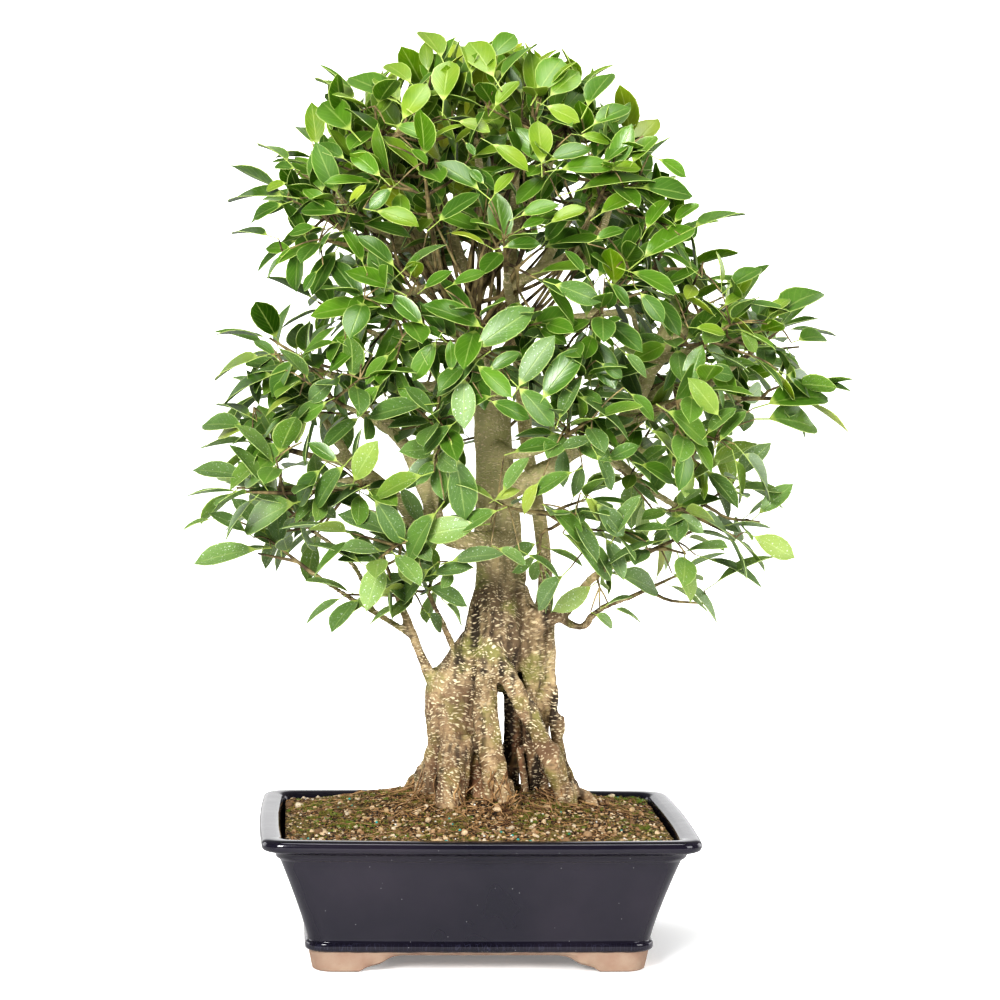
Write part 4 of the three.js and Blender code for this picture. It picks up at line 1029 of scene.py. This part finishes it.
def seeded_random(seed):
    """The same repeatable numbers between 0 and 1 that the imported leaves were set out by."""
    state = seed & 0xFFFFFFFF

    def draw_next():
        nonlocal state
        state = (state + 0x6D2B79F5) & 0xFFFFFFFF
        mixed = ((state ^ state >> 15) * (1 | state)) & 0xFFFFFFFF
        mixed = (mixed + (mixed ^ mixed >> 7) * (61 | mixed) & 0xFFFFFFFF) & 0xFFFFFFFF ^ mixed
        return (mixed ^ mixed >> 14) / 4294967296

    return draw_next


def set_out(start, along, length, young, phase):
    """A shoot with the directions that its leaves are set out by."""
    level = Vector((along.y, -along.x, 0))
    side = Vector((1, 0, 0)) if level.length < 0.3 else level
    side = (side - side.dot(along) * along).normalized()
    return {
        "start": start, "tip": start + along * length, "along": along, "side": side,
        "rise": side.cross(along), "young": young, "phase": phase,
    }


def lean_from(shoot, lean, angle):
    return shoot["along"] * math.cos(lean) + math.sin(lean) * (
        shoot["side"] * math.cos(angle) + shoot["rise"] * math.sin(angle))


def lead_shoot(path, young, draw_next):
    end, before = Vector(path[-1][:3]), Vector(path[-2][:3])
    onward = (end - before).normalized()
    along = (onward + Vector((0, 0, YOUNG_LIFT if young else OLD_LIFT))).normalized()
    length = SHOOT_LENGTH * (0.88 + 0.24 * draw_next())
    thick = max(path[-1][3] - 0.2, TWIG_RADIUS)
    start = end + onward * (FIT_GAP + thick * onward.cross(along).length)
    return set_out(start, along, length, young, 2 * math.pi * draw_next())


def side_shoot(lead, attempt):
    phase = lead["phase"] + attempt * GOLDEN_ANGLE
    start = lead["start"].lerp(lead["tip"], SIDE_START)
    return set_out(
        start, lean_from(lead, SIDE_LEAN, phase), SIDE_LENGTH, lead["young"], phase)


def leaf_place(shoot, order, turn, draw_next):
    """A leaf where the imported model's rule puts it."""
    root = shoot["tip"].lerp(shoot["start"], 0.05 + LEAF_STEP * order)
    angle = order * GOLDEN_ANGLE + shoot["phase"] + turn
    along = lean_from(shoot, 0.42 + 0.2 * order + 0.2 * (draw_next() - 0.5), angle)
    along.z -= 0 if shoot["young"] else OLD_DROOP
    along.normalize()
    normal = Vector((0, 0, 0.8)) + 0.45 * shoot["along"]
    normal.x += 0.5 * (draw_next() - 0.5)
    normal.y += 0.5 * (draw_next() - 0.5)
    normal = (normal - normal.dot(along) * along).normalized()
    length = LEAF_LENGTH * (0.86 + 0.3 * draw_next())
    return {"root": root, "along": along, "normal": normal, "length": length,
            "bend": 0.1 + 0.1 * draw_next(), "width": LEAF_WIDTH, "tone": None}


def on_leaf(leaf, part):
    """A place on the leaf's midrib."""
    drop = leaf["bend"] * leaf["length"] * part ** 2
    return leaf["root"] + leaf["along"] * part * leaf["length"] - leaf["normal"] * drop


def nearest_match(packed_tree, choices, parts, where):
    """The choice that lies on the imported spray, or None."""
    rated = []
    for rank, choice in enumerate(choices):
        miss = max(packed_tree.find_nearest(place(*where(choice, part)))[3] for part in parts)
        rated.append((miss / MM, rank))
    miss, rank = min(rated)
    return choices[rank] if miss < MATCHED else None


sprays = []
fan_draw = random.Random(12)
for i, path in enumerate(BRANCHES):
    packed = bmesh.new()
    packed.from_mesh(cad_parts[f"spray_{i + 1:02d}"].data)
    packed_tree = BVHTree.FromBMesh(packed)
    packed.free()
    young = i + 1 in YOUNG_SPRAYS
    lead = lead_shoot(path, young, seeded_random(SEED + i))
    shoots = [lead]
    if i + 1 not in LONE_SPRAYS:
        side = nearest_match(
            packed_tree, [side_shoot(lead, attempt) for attempt in range(SIDE_TRIES)], (0.5, 0.9),
            lambda shoot, part: shoot["start"].lerp(shoot["tip"], part))
        shoots += [side] if side else []
    leaves = []
    for rank, shoot in enumerate(shoots):
        for order in range(LEAVES_PER_SIDE if rank else LEAVES_PER_SHOOT):
            seed = SEED + 100 * (i + 1) + 50 * rank + order
            leaf = nearest_match(
                packed_tree,
                [leaf_place(shoot, order, turn, seeded_random(seed)) for turn in LEAF_TURNS],
                (0.38, 0.74), on_leaf)
            leaves += [leaf] if leaf else []
    thick = max(path[-1][3] - 0.2, TWIG_RADIUS)
    twigs = [[(lead["start"] - lead["along"] * 3, thick),
              (lead["start"].lerp(lead["tip"], 0.5), thick * 0.7),
              (lead["tip"], TWIG_RADIUS * 0.6)]]
    twigs += [[(shoot["start"], TWIG_RADIUS), (shoot["tip"], TWIG_RADIUS * 0.5)]
              for shoot in shoots[1:]]
    for _ in range(FAN_TWIGS if path[-1][2] > FAN_FROM else 0):
        foot = Vector(fan_draw.choice(TRUNK[-3:])[:3])
        end = Vector(path[-2][:3]).lerp(Vector(path[-1][:3]), fan_draw.random())
        middle = foot.lerp(end, 0.5) + Vector((
            fan_draw.gauss(0, 12), fan_draw.uniform(-34, 8), fan_draw.uniform(-24, 4)))
        twigs.append(smooth_route([(*foot, 2.4), (*middle, 1.7), (*end, 1.1)], 9, False))
    sprays.append({"young": young, "shoots": shoots, "twigs": twigs, "leaves": leaves})

# The canopy's fill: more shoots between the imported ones, and the leaves that stand out in
# the photograph. It keeps to places (x, z) on the upright plane through the canopy's middle,
# as the camera sees them: the edge, the gaps by their radius, the bare windows and the tips.
SEEN_PLANE = 25
CANOPY_EDGE = [
    (-130, 310), (-185, 345), (-270, 360), (-284, 400), (-278, 440), (-265, 495), (-255, 540),
    (-255, 575), (-210, 620), (-238, 675), (-242, 710), (-210, 770), (-160, 828), (-95, 848),
    (-50, 878), (-5, 872), (55, 868), (90, 858), (115, 838), (150, 808), (190, 792), (205, 755),
    (250, 712), (232, 670), (270, 658), (330, 635), (345, 585), (362, 540), (345, 515),
    (335, 500), (312, 440), (310, 375), (290, 350), (235, 308), (160, 308), (80, 315), (-5, 298),
]
SKY_GAPS = {
    25: [(290, 480), (-200, 600), (-245, 430), (250, 355), (-215, 690)],
    21: [(205, 365), (-255, 385), (-170, 790), (200, 325), (295, 385), (-140, 345)],
    17: [(320, 605), (220, 715), (-215, 730), (180, 770), (335, 560), (255, 480), (-205, 645)],
    14: [(220, 680), (155, 790), (-255, 470), (330, 525), (-220, 375), (-170, 365), (-120, 825),
         (295, 515), (-70, 850), (-180, 645), (285, 355)],
    11: [(-230, 585), (200, 740), (285, 640), (165, 320), (-60, 315), (-245, 530), (300, 415),
         (-240, 560), (245, 655), (-155, 815), (265, 435)],
    9: [(245, 325), (285, 450), (-195, 770), (270, 510), (-10, 345), (-25, 375), (305, 635),
        (-155, 665), (-215, 515), (-210, 755), (305, 450), (320, 505)],
    7: [(250, 380), (55, 330), (-260, 485), (335, 580), (320, 490), (-40, 865), (125, 815),
        (220, 660), (-255, 505), (180, 355), (-150, 625), (260, 450), (-105, 315), (185, 715),
        (-275, 410), (-5, 655), (-190, 575), (-130, 460), (-135, 320), (240, 710), (-110, 650),
        (-85, 465), (95, 840), (175, 790), (-140, 650), (220, 315), (325, 625), (-230, 390),
        (-200, 380), (-70, 365), (160, 750), (-120, 340), (180, 445), (-25, 310), (350, 530)],
    6: [(-130, 620), (310, 520), (-140, 825), (270, 640)],
}
BARE_WINDOWS = [(-12, 32, 400, 535), (-24, 18, 368, 400), (-30, 60, 200, 340),
                (-55, 100, 612, 668)]
SEEN_TIPS = [
    (84, 574), (112, 592), (98, 548), (60, 600),
    (-50, 835), (5, 840), (55, 840), (115, 830), (-75, 815), (-95, 730), (-140, 790),
    (-135, 715), (-185, 715), (-190, 665), (58, 750), (125, 765), (155, 780), (150, 735),
    (165, 700), (140, 660), (215, 660), (250, 630), (290, 600), (310, 580), (300, 545),
    (230, 490), (275, 410), (195, 420), (215, 465), (165, 385), (140, 400),
    (120, 345), (225, 330), (105, 430), (85, 500), (55, 560), (20, 560), (20, 425), (-38, 505),
    (-40, 470), (-60, 385), (-20, 365), (-60, 340), (-95, 360), (-110, 440), (-150, 440),
    (-180, 410), (-215, 400), (-210, 375), (-215, 460), (-215, 490), (-215, 515), (-210, 550),
    (-170, 560), (-130, 600), (-90, 620), (-60, 640), (-80, 560),
]
# each leaf's base and tip, how far it faces the camera (1 to 3) and its tone (0 as the rest,
# 1 dark, 2 light, 3 yellow)
SEEN_LEAVES = [
    (-40, 848, -59, 875, 2, 2), (12, 830, -14, 866, 3, 2), (6, 849, 30, 874, 3, 0),
    (-68, 824, -93, 843, 2, 0), (-124, 805, -159, 827, 1, 0), (-79, 804, -128, 830, 2, 0),
    (-77, 789, -53, 826, 3, 2), (-123, 777, -153, 806, 3, 0), (-185, 747, -213, 764, 1, 0),
    (-187, 714, -240, 710, 1, 0), (-187, 709, -217, 695, 2, 0), (-202, 677, -237, 680, 1, 0),
    (-95, 735, -125, 760, 3, 0), (-84, 727, -107, 705, 3, 0), (-126, 707, -110, 729, 2, 3),
    (-1, 723, -44, 751, 2, 0), (-41, 693, -1, 722, 2, 0), (-113, 653, -132, 686, 2, 0),
    (5, 672, -28, 684, 1, 3), (-75, 644, -32, 673, 1, 0), (-82, 628, -130, 646, 2, 0),
    (-55, 597, -86, 624, 3, 0), (0, 594, -55, 615, 2, 0), (-108, 611, -162, 603, 2, 0),
    (18, 829, 52, 865, 1, 0), (52, 816, 75, 852, 3, 0), (63, 814, 92, 840, 3, 0),
    (101, 804, 124, 839, 2, 0), (105, 787, 142, 807, 2, 0), (117, 750, 143, 776, 2, 0),
    (145, 752, 168, 780, 2, 0), (168, 758, 197, 741, 2, 0), (151, 729, 204, 723, 2, 0),
    (93, 724, 169, 736, 1, 0), (160, 689, 181, 720, 2, 0), (186, 696, 210, 716, 2, 0),
    (205, 690, 255, 706, 1, 0), (156, 660, 207, 693, 2, 0), (206, 650, 174, 668, 1, 0),
    (143, 649, 190, 629, 2, 0), (125, 638, 144, 615, 2, 0), (101, 646, 81, 669, 2, 0),
    (232, 640, 227, 671, 1, 0), (242, 635, 272, 655, 2, 0), (289, 608, 330, 633, 2, 0),
    (309, 585, 335, 589, 2, 0), (-1, 575, 53, 614, 3, 0), (40, 539, 73, 588, 3, 1),
    (63, 527, 100, 577, 3, 1), (80, 508, 100, 548, 2, 0), (39, 536, 73, 500, 3, 0),
    (96, 527, 146, 487, 1, 0), (140, 571, 162, 548, 2, 0), (146, 532, 170, 506, 2, 0),
    (231, 514, 202, 549, 3, 2), (224, 495, 250, 520, 2, 0), (236, 488, 260, 517, 2, 0),
    (182, 515, 223, 483, 2, 0), (167, 496, 197, 461, 1, 2), (210, 451, 235, 469, 2, 0),
    (158, 463, 191, 447, 2, 0), (114, 473, 130, 439, 2, 0), (27, 437, 50, 470, 2, 0),
    (92, 455, 53, 432, 2, 0), (60, 445, 46, 415, 2, 3), (71, 418, 103, 389, 2, 0),
    (115, 426, 142, 395, 3, 0), (136, 397, 159, 435, 2, 0), (104, 431, 120, 409, 2, 3),
    (172, 394, 201, 412, 1, 0), (215, 412, 248, 391, 1, 0), (275, 418, 307, 447, 3, 0),
    (256, 474, 282, 431, 1, 0), (248, 469, 254, 427, 1, 0), (270, 395, 310, 375, 3, 0),
    (236, 349, 291, 376, 1, 0), (226, 371, 278, 346, 1, 0), (199, 350, 235, 311, 1, 0),
    (177, 388, 127, 366, 1, 0), (136, 356, 177, 340, 2, 0), (127, 326, 153, 336, 1, 0),
    (136, 323, 160, 311, 1, 0), (116, 318, 133, 306, 2, 0), (93, 388, 131, 352, 2, 0),
    (50, 374, 82, 350, 1, 0), (21, 381, 48, 366, 2, 0), (85, 355, 61, 322, 2, 1),
    (281, 508, 328, 502, 2, 0), (317, 540, 363, 537, 1, 0), (281, 522, 339, 531, 2, 0),
    (297, 552, 322, 535, 2, 0), (-210, 561, -252, 540, 1, 2), (-196, 563, -216, 579, 2, 0),
    (-176, 560, -198, 525, 2, 0), (-197, 544, -244, 516, 1, 0), (-220, 505, -251, 517, 1, 0),
    (-178, 523, -204, 506, 1, 3), (-226, 495, -264, 497, 2, 0), (-164, 501, -175, 481, 2, 3),
    (-222, 447, -273, 454, 2, 0), (-180, 474, -223, 442, 2, 0), (-135, 464, -163, 482, 3, 0),
    (-117, 447, -96, 485, 3, 2), (-127, 459, -154, 419, 2, 1), (-150, 455, -171, 421, 2, 0),
    (-53, 450, -98, 429, 2, 0), (-111, 437, -141, 417, 1, 0), (-185, 421, -219, 436, 2, 0),
    (-174, 422, -223, 396, 2, 0), (-223, 395, -258, 413, 2, 0), (-257, 406, -281, 397, 1, 0),
    (-212, 377, -271, 364, 2, 0), (-80, 393, -134, 413, 2, 0), (-99, 428, -71, 385, 3, 0),
    (-90, 357, -126, 398, 1, 0), (-114, 366, -162, 384, 1, 0), (-38, 415, -65, 368, 2, 0),
    (0, 403, -53, 393, 3, 0), (20, 417, -18, 397, 2, 0), (-23, 470, -11, 409, 3, 1),
    (14, 428, -28, 445, 1, 2), (-22, 368, 27, 376, 2, 1), (-95, 353, -63, 329, 2, 0),
    (-44, 360, -72, 328, 2, 0), (-47, 342, -8, 325, 2, 0), (-85, 334, -131, 309, 1, 0),
    (-70, 324, -102, 307, 1, 0), (-47, 318, -33, 301, 2, 0), (-29, 327, -14, 307, 1, 0),
    (1, 563, -40, 527, 2, 0), (-41, 580, -63, 542, 3, 0), (-86, 566, -108, 538, 2, 0),
    (-118, 569, -143, 551, 2, 0), (-137, 577, -172, 563, 1, 0), (-109, 570, -138, 582, 2, 0),
    (-52, 518, -106, 506, 2, 0), (-44, 509, -72, 537, 2, 0), (12, 527, -30, 510, 2, 0),
    (-1, 557, 32, 528, 3, 0), (-145, 521, -173, 504, 3, 0), (-137, 543, -163, 521, 3, 0),
    (-94, 537, -116, 507, 2, 0), (-24, 500, -52, 471, 2, 0), (-37, 806, -32, 848, 3, 2),
    (12, 803, 35, 830, 2, 2), (-12, 834, -19, 862, 2, 2), (57, 750, 53, 793, 3, 2),
    (63, 753, 106, 767, 2, 0), (74, 745, 127, 749, 2, 0), (8, 769, 45, 744, 2, 2),
    (12, 719, 32, 743, 2, 2), (-24, 790, 8, 781, 2, 0), (-84, 785, -48, 772, 2, 0),
    (-50, 770, -18, 787, 1, 2), (-69, 764, -52, 749, 2, 0), (60, 807, 94, 792, 3, 0),
    (93, 779, 123, 772, 2, 0), (123, 746, 153, 749, 2, 0), (135, 761, 165, 765, 1, 0),
    (-78, 806, -104, 830, 2, 2), (-98, 774, -132, 800, 1, 0), (-130, 751, -160, 766, 2, 0),
    (-185, 729, -205, 722, 2, 2), (-149, 705, -170, 724, 2, 0), (-131, 701, -172, 703, 2, 0),
    (-102, 703, -59, 690, 2, 2), (21, 670, 58, 675, 2, 0), (37, 700, 75, 713, 2, 0),
    (66, 694, 101, 710, 2, 0), (110, 679, 138, 690, 2, 0), (114, 703, 149, 723, 2, 0),
    (-53, 630, -26, 648, 2, 0), (-26, 634, 6, 647, 2, 0), (-66, 643, -58, 664, 2, 0),
    (-82, 649, -118, 680, 2, 0), (-35, 582, -53, 594, 2, 0), (-27, 553, -28, 582, 3, 0),
    (11, 554, 39, 571, 3, 1), (13, 523, 50, 507, 3, 1), (72, 636, 117, 620, 3, 1),
    (118, 561, 139, 548, 3, 1), (36, 474, 78, 483, 2, 1), (80, 477, 109, 488, 2, 1),
    (126, 468, 156, 483, 3, 0), (155, 629, 178, 602, 3, 1), (217, 556, 247, 551, 3, 1),
    (253, 596, 268, 574, 3, 0), (237, 618, 257, 631, 2, 2), (209, 596, 238, 591, 2, 2),
    (281, 609, 300, 626, 2, 2), (-226, 492, -247, 488, 2, 3), (-41, 355, -2, 363, 2, 1),
    (18, 428, 42, 438, 2, 3), (38, 688, 62, 699, 2, 0), (-16, 771, -6, 759, 3, 1),
    (3, 731, -11, 745, 3, 1), (-178, 742, -197, 745, 2, 0), (-156, 687, -183, 680, 2, 0),
    (-186, 661, -203, 637, 1, 0), (-154, 647, -168, 626, 2, 1), (-140, 686, -154, 661, 1, 1),
]
DOME_DEPTH = 178
SHOOT_DEPTH = 26
TIP_APART = 36
CROWDED_APART = 27
TIP_COUNT = 320
TIP_TRIES = 9000
TIP_REACH = (20, 74)
TIP_LOWEST = 322
EDGE_ROOM = (44, 38)
FRONT_ROOM = 34
LOW_SIDE_SHARE = 0.12
LEFT_SHARE = 0.4
eye = Vector(CAMERA_PLACE)
low_edge, high_edge = (cad_low - POT_MIDDLE) / MM, (cad_high - POT_MIDDLE) / MM
draw = random.Random(88)


def seen_at(spot):
    """Where a place shows on the upright plane, as the camera sees it."""
    shown = eye + (spot - eye) * (SEEN_PLANE - eye.y) / (spot.y - eye.y)
    return shown.x, shown.z


def on_dome(x, z, behind=0):
    """The place on the canopy's rounded front that shows there."""
    swell = max(0.05, 1 - ((x - 30) / 305) ** 2 - ((z - 590) / 300) ** 2)
    depth = SEEN_PLANE - DOME_DEPTH * math.sqrt(swell) + behind
    return eye + (Vector((x, SEEN_PLANE, z)) - eye) * (depth - eye.y) / (SEEN_PLANE - eye.y)


def in_canopy(x, z):
    inside = False
    for (x0, z0), (x1, z1) in zip(CANOPY_EDGE, CANOPY_EDGE[-1:] + CANOPY_EDGE):
        if (z0 > z) != (z1 > z) and x < (x1 - x0) * (z - z0) / (z1 - z0) + x0:
            inside = not inside
    return inside


def may_show(spot, room=0):
    """Whether a place is within the canopy's edge and clear of the gaps in it."""
    x, z = seen_at(spot)
    if spot.y < 0 and any(
            x0 < x < x1 and z0 < z < z1 for x0, x1, z0, z1 in BARE_WINDOWS):
        return False
    return in_canopy(x, z) and all(
        (x - gap_x) ** 2 + (z - gap_z) ** 2 > (size + room) ** 2
        for size, gaps in SKY_GAPS.items() for gap_x, gap_z in gaps)


carriers = [(Vector(path[j][:3]).lerp(Vector(path[j + 1][:3]), part / 4), i)
            for i, path in enumerate(BRANCHES) for j in range(len(path) // 2, len(path) - 1)
            for part in range(5)]
carriers += [(shoot["start"].lerp(shoot["tip"], 0.3), i)
             for i, spray in enumerate(sprays) for shoot in spray["shoots"]]
carrier_tree = KDTree(len(carriers))
for rank, (spot, _) in enumerate(carriers):
    carrier_tree.insert(spot, rank)
carrier_tree.balance()
packed_tips = [shoot["tip"] for spray in sprays for shoot in spray["shoots"]]
new_tips = []


def is_free(tip, apart):
    return all((tip - other).length > apart for other in packed_tips + new_tips)


def has_room(tip, reach):
    """Whether a new shoot fits here: near a branch, inside the canopy and off the others."""
    crowded = tip.z > 690 or (-60 < tip.x < 130 and 540 < tip.z < 650)
    return TIP_REACH[0] < reach < TIP_REACH[1] and tip.z > TIP_LOWEST and all(
        low_edge[axis] + EDGE_ROOM[0] < tip[axis] < high_edge[axis] - EDGE_ROOM[1]
        for axis in range(3)) and (
        may_show(tip, room=8) and tip.y > on_dome(*seen_at(tip)).y + FRONT_ROOM
        and is_free(tip, CROWDED_APART if crowded else TIP_APART))


for x, z in SEEN_TIPS:
    tip = on_dome(x, z, SHOOT_DEPTH)
    if is_free(tip, apart=18):
        new_tips.append(tip)
for _ in range(TIP_TRIES):
    near = packed_tips[draw.randrange(len(packed_tips))]
    tip = near + Vector((draw.uniform(-60, 60), draw.uniform(-60, 60), draw.uniform(-40, 40)))
    if len(new_tips) + len(packed_tips) < TIP_COUNT and has_room(tip, carrier_tree.find(tip)[2]):
        # the tiers are thinner low down at both sides, and on the left
        if (tip.z > 490 or abs(tip.x) < 60 or draw.random() < LOW_SIDE_SHARE) and (
                tip.x > -60 or tip.z > 640 or draw.random() < LEFT_SHARE):
            new_tips.append(tip)

for tip in new_tips:
    base, rank, _ = carrier_tree.find(tip)
    spray = sprays[carriers[rank][1]]
    young = spray["young"]
    span = tip - base
    outward = Vector((tip.x - 15, tip.y - 25, 0)).normalized()
    along = (span.normalized() + outward * 0.5
             + Vector((0, 0, 0.6 if young else 0.1))).normalized()
    knee = tip - along * min(0.6 * span.length, 34)
    spray["twigs"].append(smooth_route([
        (*base, 1.9), (*base.lerp(knee, 0.5), 1.6), (*knee, 1.4), (*tip, 0.9)], 9, False))
    shoot = set_out(tip - along * 34, along, 34, young, draw.uniform(0, 2 * math.pi))
    for order in range(draw.choice((6, 7, 8))):
        pointing = lean_from(
            shoot, 0.35 + 0.17 * order + draw.uniform(-0.15, 0.15),
            order * GOLDEN_ANGLE + shoot["phase"] + draw.uniform(-0.3, 0.3))
        pointing.z += 0.95 if young else -0.15
        pointing.normalize()
        spread = 0.65 * (1 - 0.6 * abs(outward.x) ** 2)
        facing = Vector((draw.gauss(0, 0.6), draw.gauss(0, spread), 0.8)) + (
            0.5 * outward + 0.3 * along)
        facing = (facing - facing.dot(pointing) * pointing).normalized()
        leaf = {
            "root": tip.lerp(shoot["start"], 0.04 + 0.13 * order), "along": pointing,
            "normal": facing, "length": LEAF_LENGTH * draw.choice((0.7, 0.85, 0.95, 1.05, 1.15)),
            "bend": draw.uniform(0.02, 0.2), "width": draw.uniform(0.31, 0.41), "tone": None,
            "blunt": 0.80 if young else 0.92}
        if all(may_show(on_leaf(leaf, part)) for part in (0.4, 0.7, 1)):
            spray["leaves"].append(leaf)

# The leaves that stand out in the photograph, each on a thin stalk from the nearest shoot
stems = [(place_on, i) for i, spray in enumerate(sprays) for twig in spray["twigs"]
         for place_on, _ in twig[-3:]]
stem_tree = KDTree(len(stems))
for rank, (spot, _) in enumerate(stems):
    stem_tree.insert(spot, rank)
stem_tree.balance()
for base_x, base_z, tip_x, tip_z, facing, tone in SEEN_LEAVES:
    base, tip = on_dome(base_x, base_z), on_dome(tip_x, tip_z)
    blade = (tip - base).length
    along = (tip - base) / blade
    length = blade / (1 - STALK_SHARE)
    root = tip - along * length
    to_eye = (eye - base).normalized()
    square_on = (to_eye - to_eye.dot(along) * along).normalized()
    upward = along.cross(square_on)
    upward *= 1 if upward.z > 0 else -1
    turned = (0, 1.28, 0.80, 0.30)[facing]
    spot, rank, reach = stem_tree.find(root)
    spray = sprays[stems[rank][1]]
    if reach > 4:
        middle = spot.lerp(root, 0.5) + Vector((0, 0, 0.06 * reach))
        spray["twigs"].append(smooth_route([(*spot, 0.9), (*middle, 0.8), (*root, 0.6)], 9, False))
    spray["leaves"].append({
        "root": root, "along": along, "length": length, "bend": 0.0,
        "normal": square_on * math.cos(turned) + upward * math.sin(turned),
        "width": draw.uniform(0.34, 0.41), "tone": tone, "blunt": 0.80 if base.z > 640 else 0.92})


def add_leaf(shape, layer, leaf, tone, dust_and_sheen):
    """One leaf: a grid that is pinched to the stalk and the tip and folded at the midrib."""
    across = leaf["normal"].cross(leaf["along"])
    rows = len(LEAF_ROWS) - 1
    made = bmesh.ops.create_grid(
        shape, x_segments=2, y_segments=rows, size=1, calc_uvs=True)["verts"]
    tips = []
    for corner in made:
        aside = corner.co.x
        row = round((corner.co.y + 1) / 2 * rows)
        part, wide = LEAF_ROWS[row]
        part **= leaf.get("blunt", 1)
        half = wide * leaf["length"] * leaf["width"] / 2
        fold = 0.30 * half * abs(aside) + 0.5 * aside * math.sin(9 * part + leaf["root"].x)
        arch = 0.05 * leaf["length"] * math.sin(math.pi * part)
        corner.co = place(*(
            on_leaf(leaf, part) + across * aside * half
            + leaf["normal"] * ((fold if wide > 0.1 else 0) + (arch if leaf["bend"] == 0 else 0))))
        corner[layer] = (tone, dust_and_sheen, 0, 1)
        if row == rows:
            tips.append(corner)
    bmesh.ops.pointmerge(shape, verts=tips, merge_co=tips[0].co)


def leaf_material(name, roughness):
    """A glossy leaf: UV runs across and along it, "leaf" holds its tone, its dust with a painted
    sheen, and its underside.
    """
    leaf = Surface(name)
    across, along = leaf.node("SeparateXYZ", {
        0: leaf.node("TexCoord", {}, "UV")}).node.outputs[:2]
    tone, dust_and_sheen, under = leaf.node("SeparateColor", {
        0: leaf.node("Attribute", {}, "Color", attribute_name="leaf")}).node.outputs
    aside = leaf.math("ABSOLUTE", leaf.math("SUBTRACT", across, 0.5))
    age = leaf.math("ADD", tone, leaf.ramp(leaf.grain(45, 3), 0.3, 0.7, -0.08, 0.08))
    colour = LEAF_TONES[0]
    for step, tint in enumerate(LEAF_TONES[1:]):
        colour = leaf.mix(leaf.ramp(age, step / 4, (step + 1) / 4), colour, tint)
    paler = leaf.mix(0.6, colour, LEAF_MARGIN)
    vein_run = leaf.math(
        "SUBTRACT", leaf.math("MULTIPLY", along, 62.0), leaf.math("MULTIPLY", aside, 34.0))
    veins = leaf.ramp(leaf.math("SINE", vein_run), 0.75, 1.0, 0, 0.14)
    midrib = leaf.ramp(aside, 0.042, 0.014, 0, 0.5)
    margin = leaf.ramp(aside, 0.452, 0.480, 0, 0.9)
    for share in (veins, midrib, margin):
        colour = leaf.mix(share, colour, paler)
    colour = leaf.mix(leaf.math("MULTIPLY", under, 0.4), colour, LEAF_UNDERSIDE)
    # dust, with a painted grey sheen of reflection over it
    colour = leaf.mix(leaf.math("MULTIPLY", dust_and_sheen, 0.24), colour, LEAF_DUST_AND_PAINTED_SHEEN)
    specks = leaf.math("MULTIPLY", leaf.ramp(leaf.grain(620, 2), 0.64, 0.70), dust_and_sheen)
    colour = leaf.mix(specks, colour, LEAF_SPECK)
    colour = leaf.mix(leaf.ramp(along, 0.27, 0.22), colour, LEAF_STALK)
    return leaf.finish(
        colour, leaf.ramp(dust_and_sheen, 0, 1, roughness, roughness + 0.2),
        leaf.math("ADD", veins, midrib), 0.0005, 0.6)


LEAF_TONES = [(0.012, 0.040, 0.002, 1), (0.044, 0.112, 0.002, 1), (0.110, 0.225, 0.005, 1),
              (0.275, 0.340, 0.022, 1), (0.490, 0.530, 0.060, 1)]
LEAF_MARGIN = (0.66, 0.74, 0.28, 1)
LEAF_UNDERSIDE = (0.115, 0.225, 0.045, 1)
LEAF_DUST_AND_PAINTED_SHEEN = (0.42, 0.50, 0.31, 1)
LEAF_SPECK = (0.60, 0.66, 0.58, 1)
LEAF_STALK = (0.36, 0.45, 0.12, 1)
TWIG_DARK = (0.070, 0.048, 0.026, 1)
TWIG_TAN = (0.34, 0.27, 0.13, 1)
old_leaf = leaf_material("leathery_old_leaf", 0.29)
young_leaf = leaf_material("soft_young_leaf", 0.36)
twig = Surface("green_brown_twig")
twig_bark = twig.finish(
    twig.over(TWIG_DARK, TWIG_TAN, (90, 4), 0.35, 0.65), 0.7, twig.grain(900, 3), 0.0004)

for i, spray in enumerate(sprays):
    shape = bmesh.new()
    shape.from_mesh(round_stems(
        [[(place(*spot), radius) for spot, radius in twig] for twig in spray["twigs"]], 2))
    for face in shape.faces:
        face.material_index = 1
    twig_faces = len(shape.faces)
    shape.loops.layers.uv.verify()
    layer = shape.verts.layers.float_color.new("leaf")
    for leaf in spray["leaves"]:
        height = leaf["root"].z
        # paler towards the crown: fresh growth, and painted backlight
        tone = 0.32 + draw.gauss(0, 0.14) + max(0.0, (height - 690) / 600)
        tone += max(0.0, min(0.09, (leaf["root"].x - 110) / 1000))
        tone += 0.06 if spray["young"] else max(0.0, (520 - height) / 1500)
        tone = (tone, 0.20, 0.66, 0.94)[leaf["tone"] or 0]
        # more dust lower down, and more painted sheen over it
        dust_and_sheen = held(draw.gauss(0.2, 0.25) + (540 - height) / 260)
        add_leaf(shape, layer, leaf, max(0.08, min(1.0, tone)), dust_and_sheen * (
            0.2 if spray["young"] else 1))
    shape.faces.ensure_lookup_table()
    known = set(shape.verts)
    bmesh.ops.solidify(shape, geom=shape.faces[twig_faces:], thickness=LEAF_THICK * MM)
    for corner in shape.verts:
        if corner not in known:
            traits = corner[layer]
            corner[layer] = (traits[0], traits[1], 1, 1)
    name = f"spray_{i + 1:02d}"
    young = spray["young"]
    piece = add_piece(
        name + "_leaves", shape, [young_leaf if young else old_leaf, twig_bark],
        50)
    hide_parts(name)
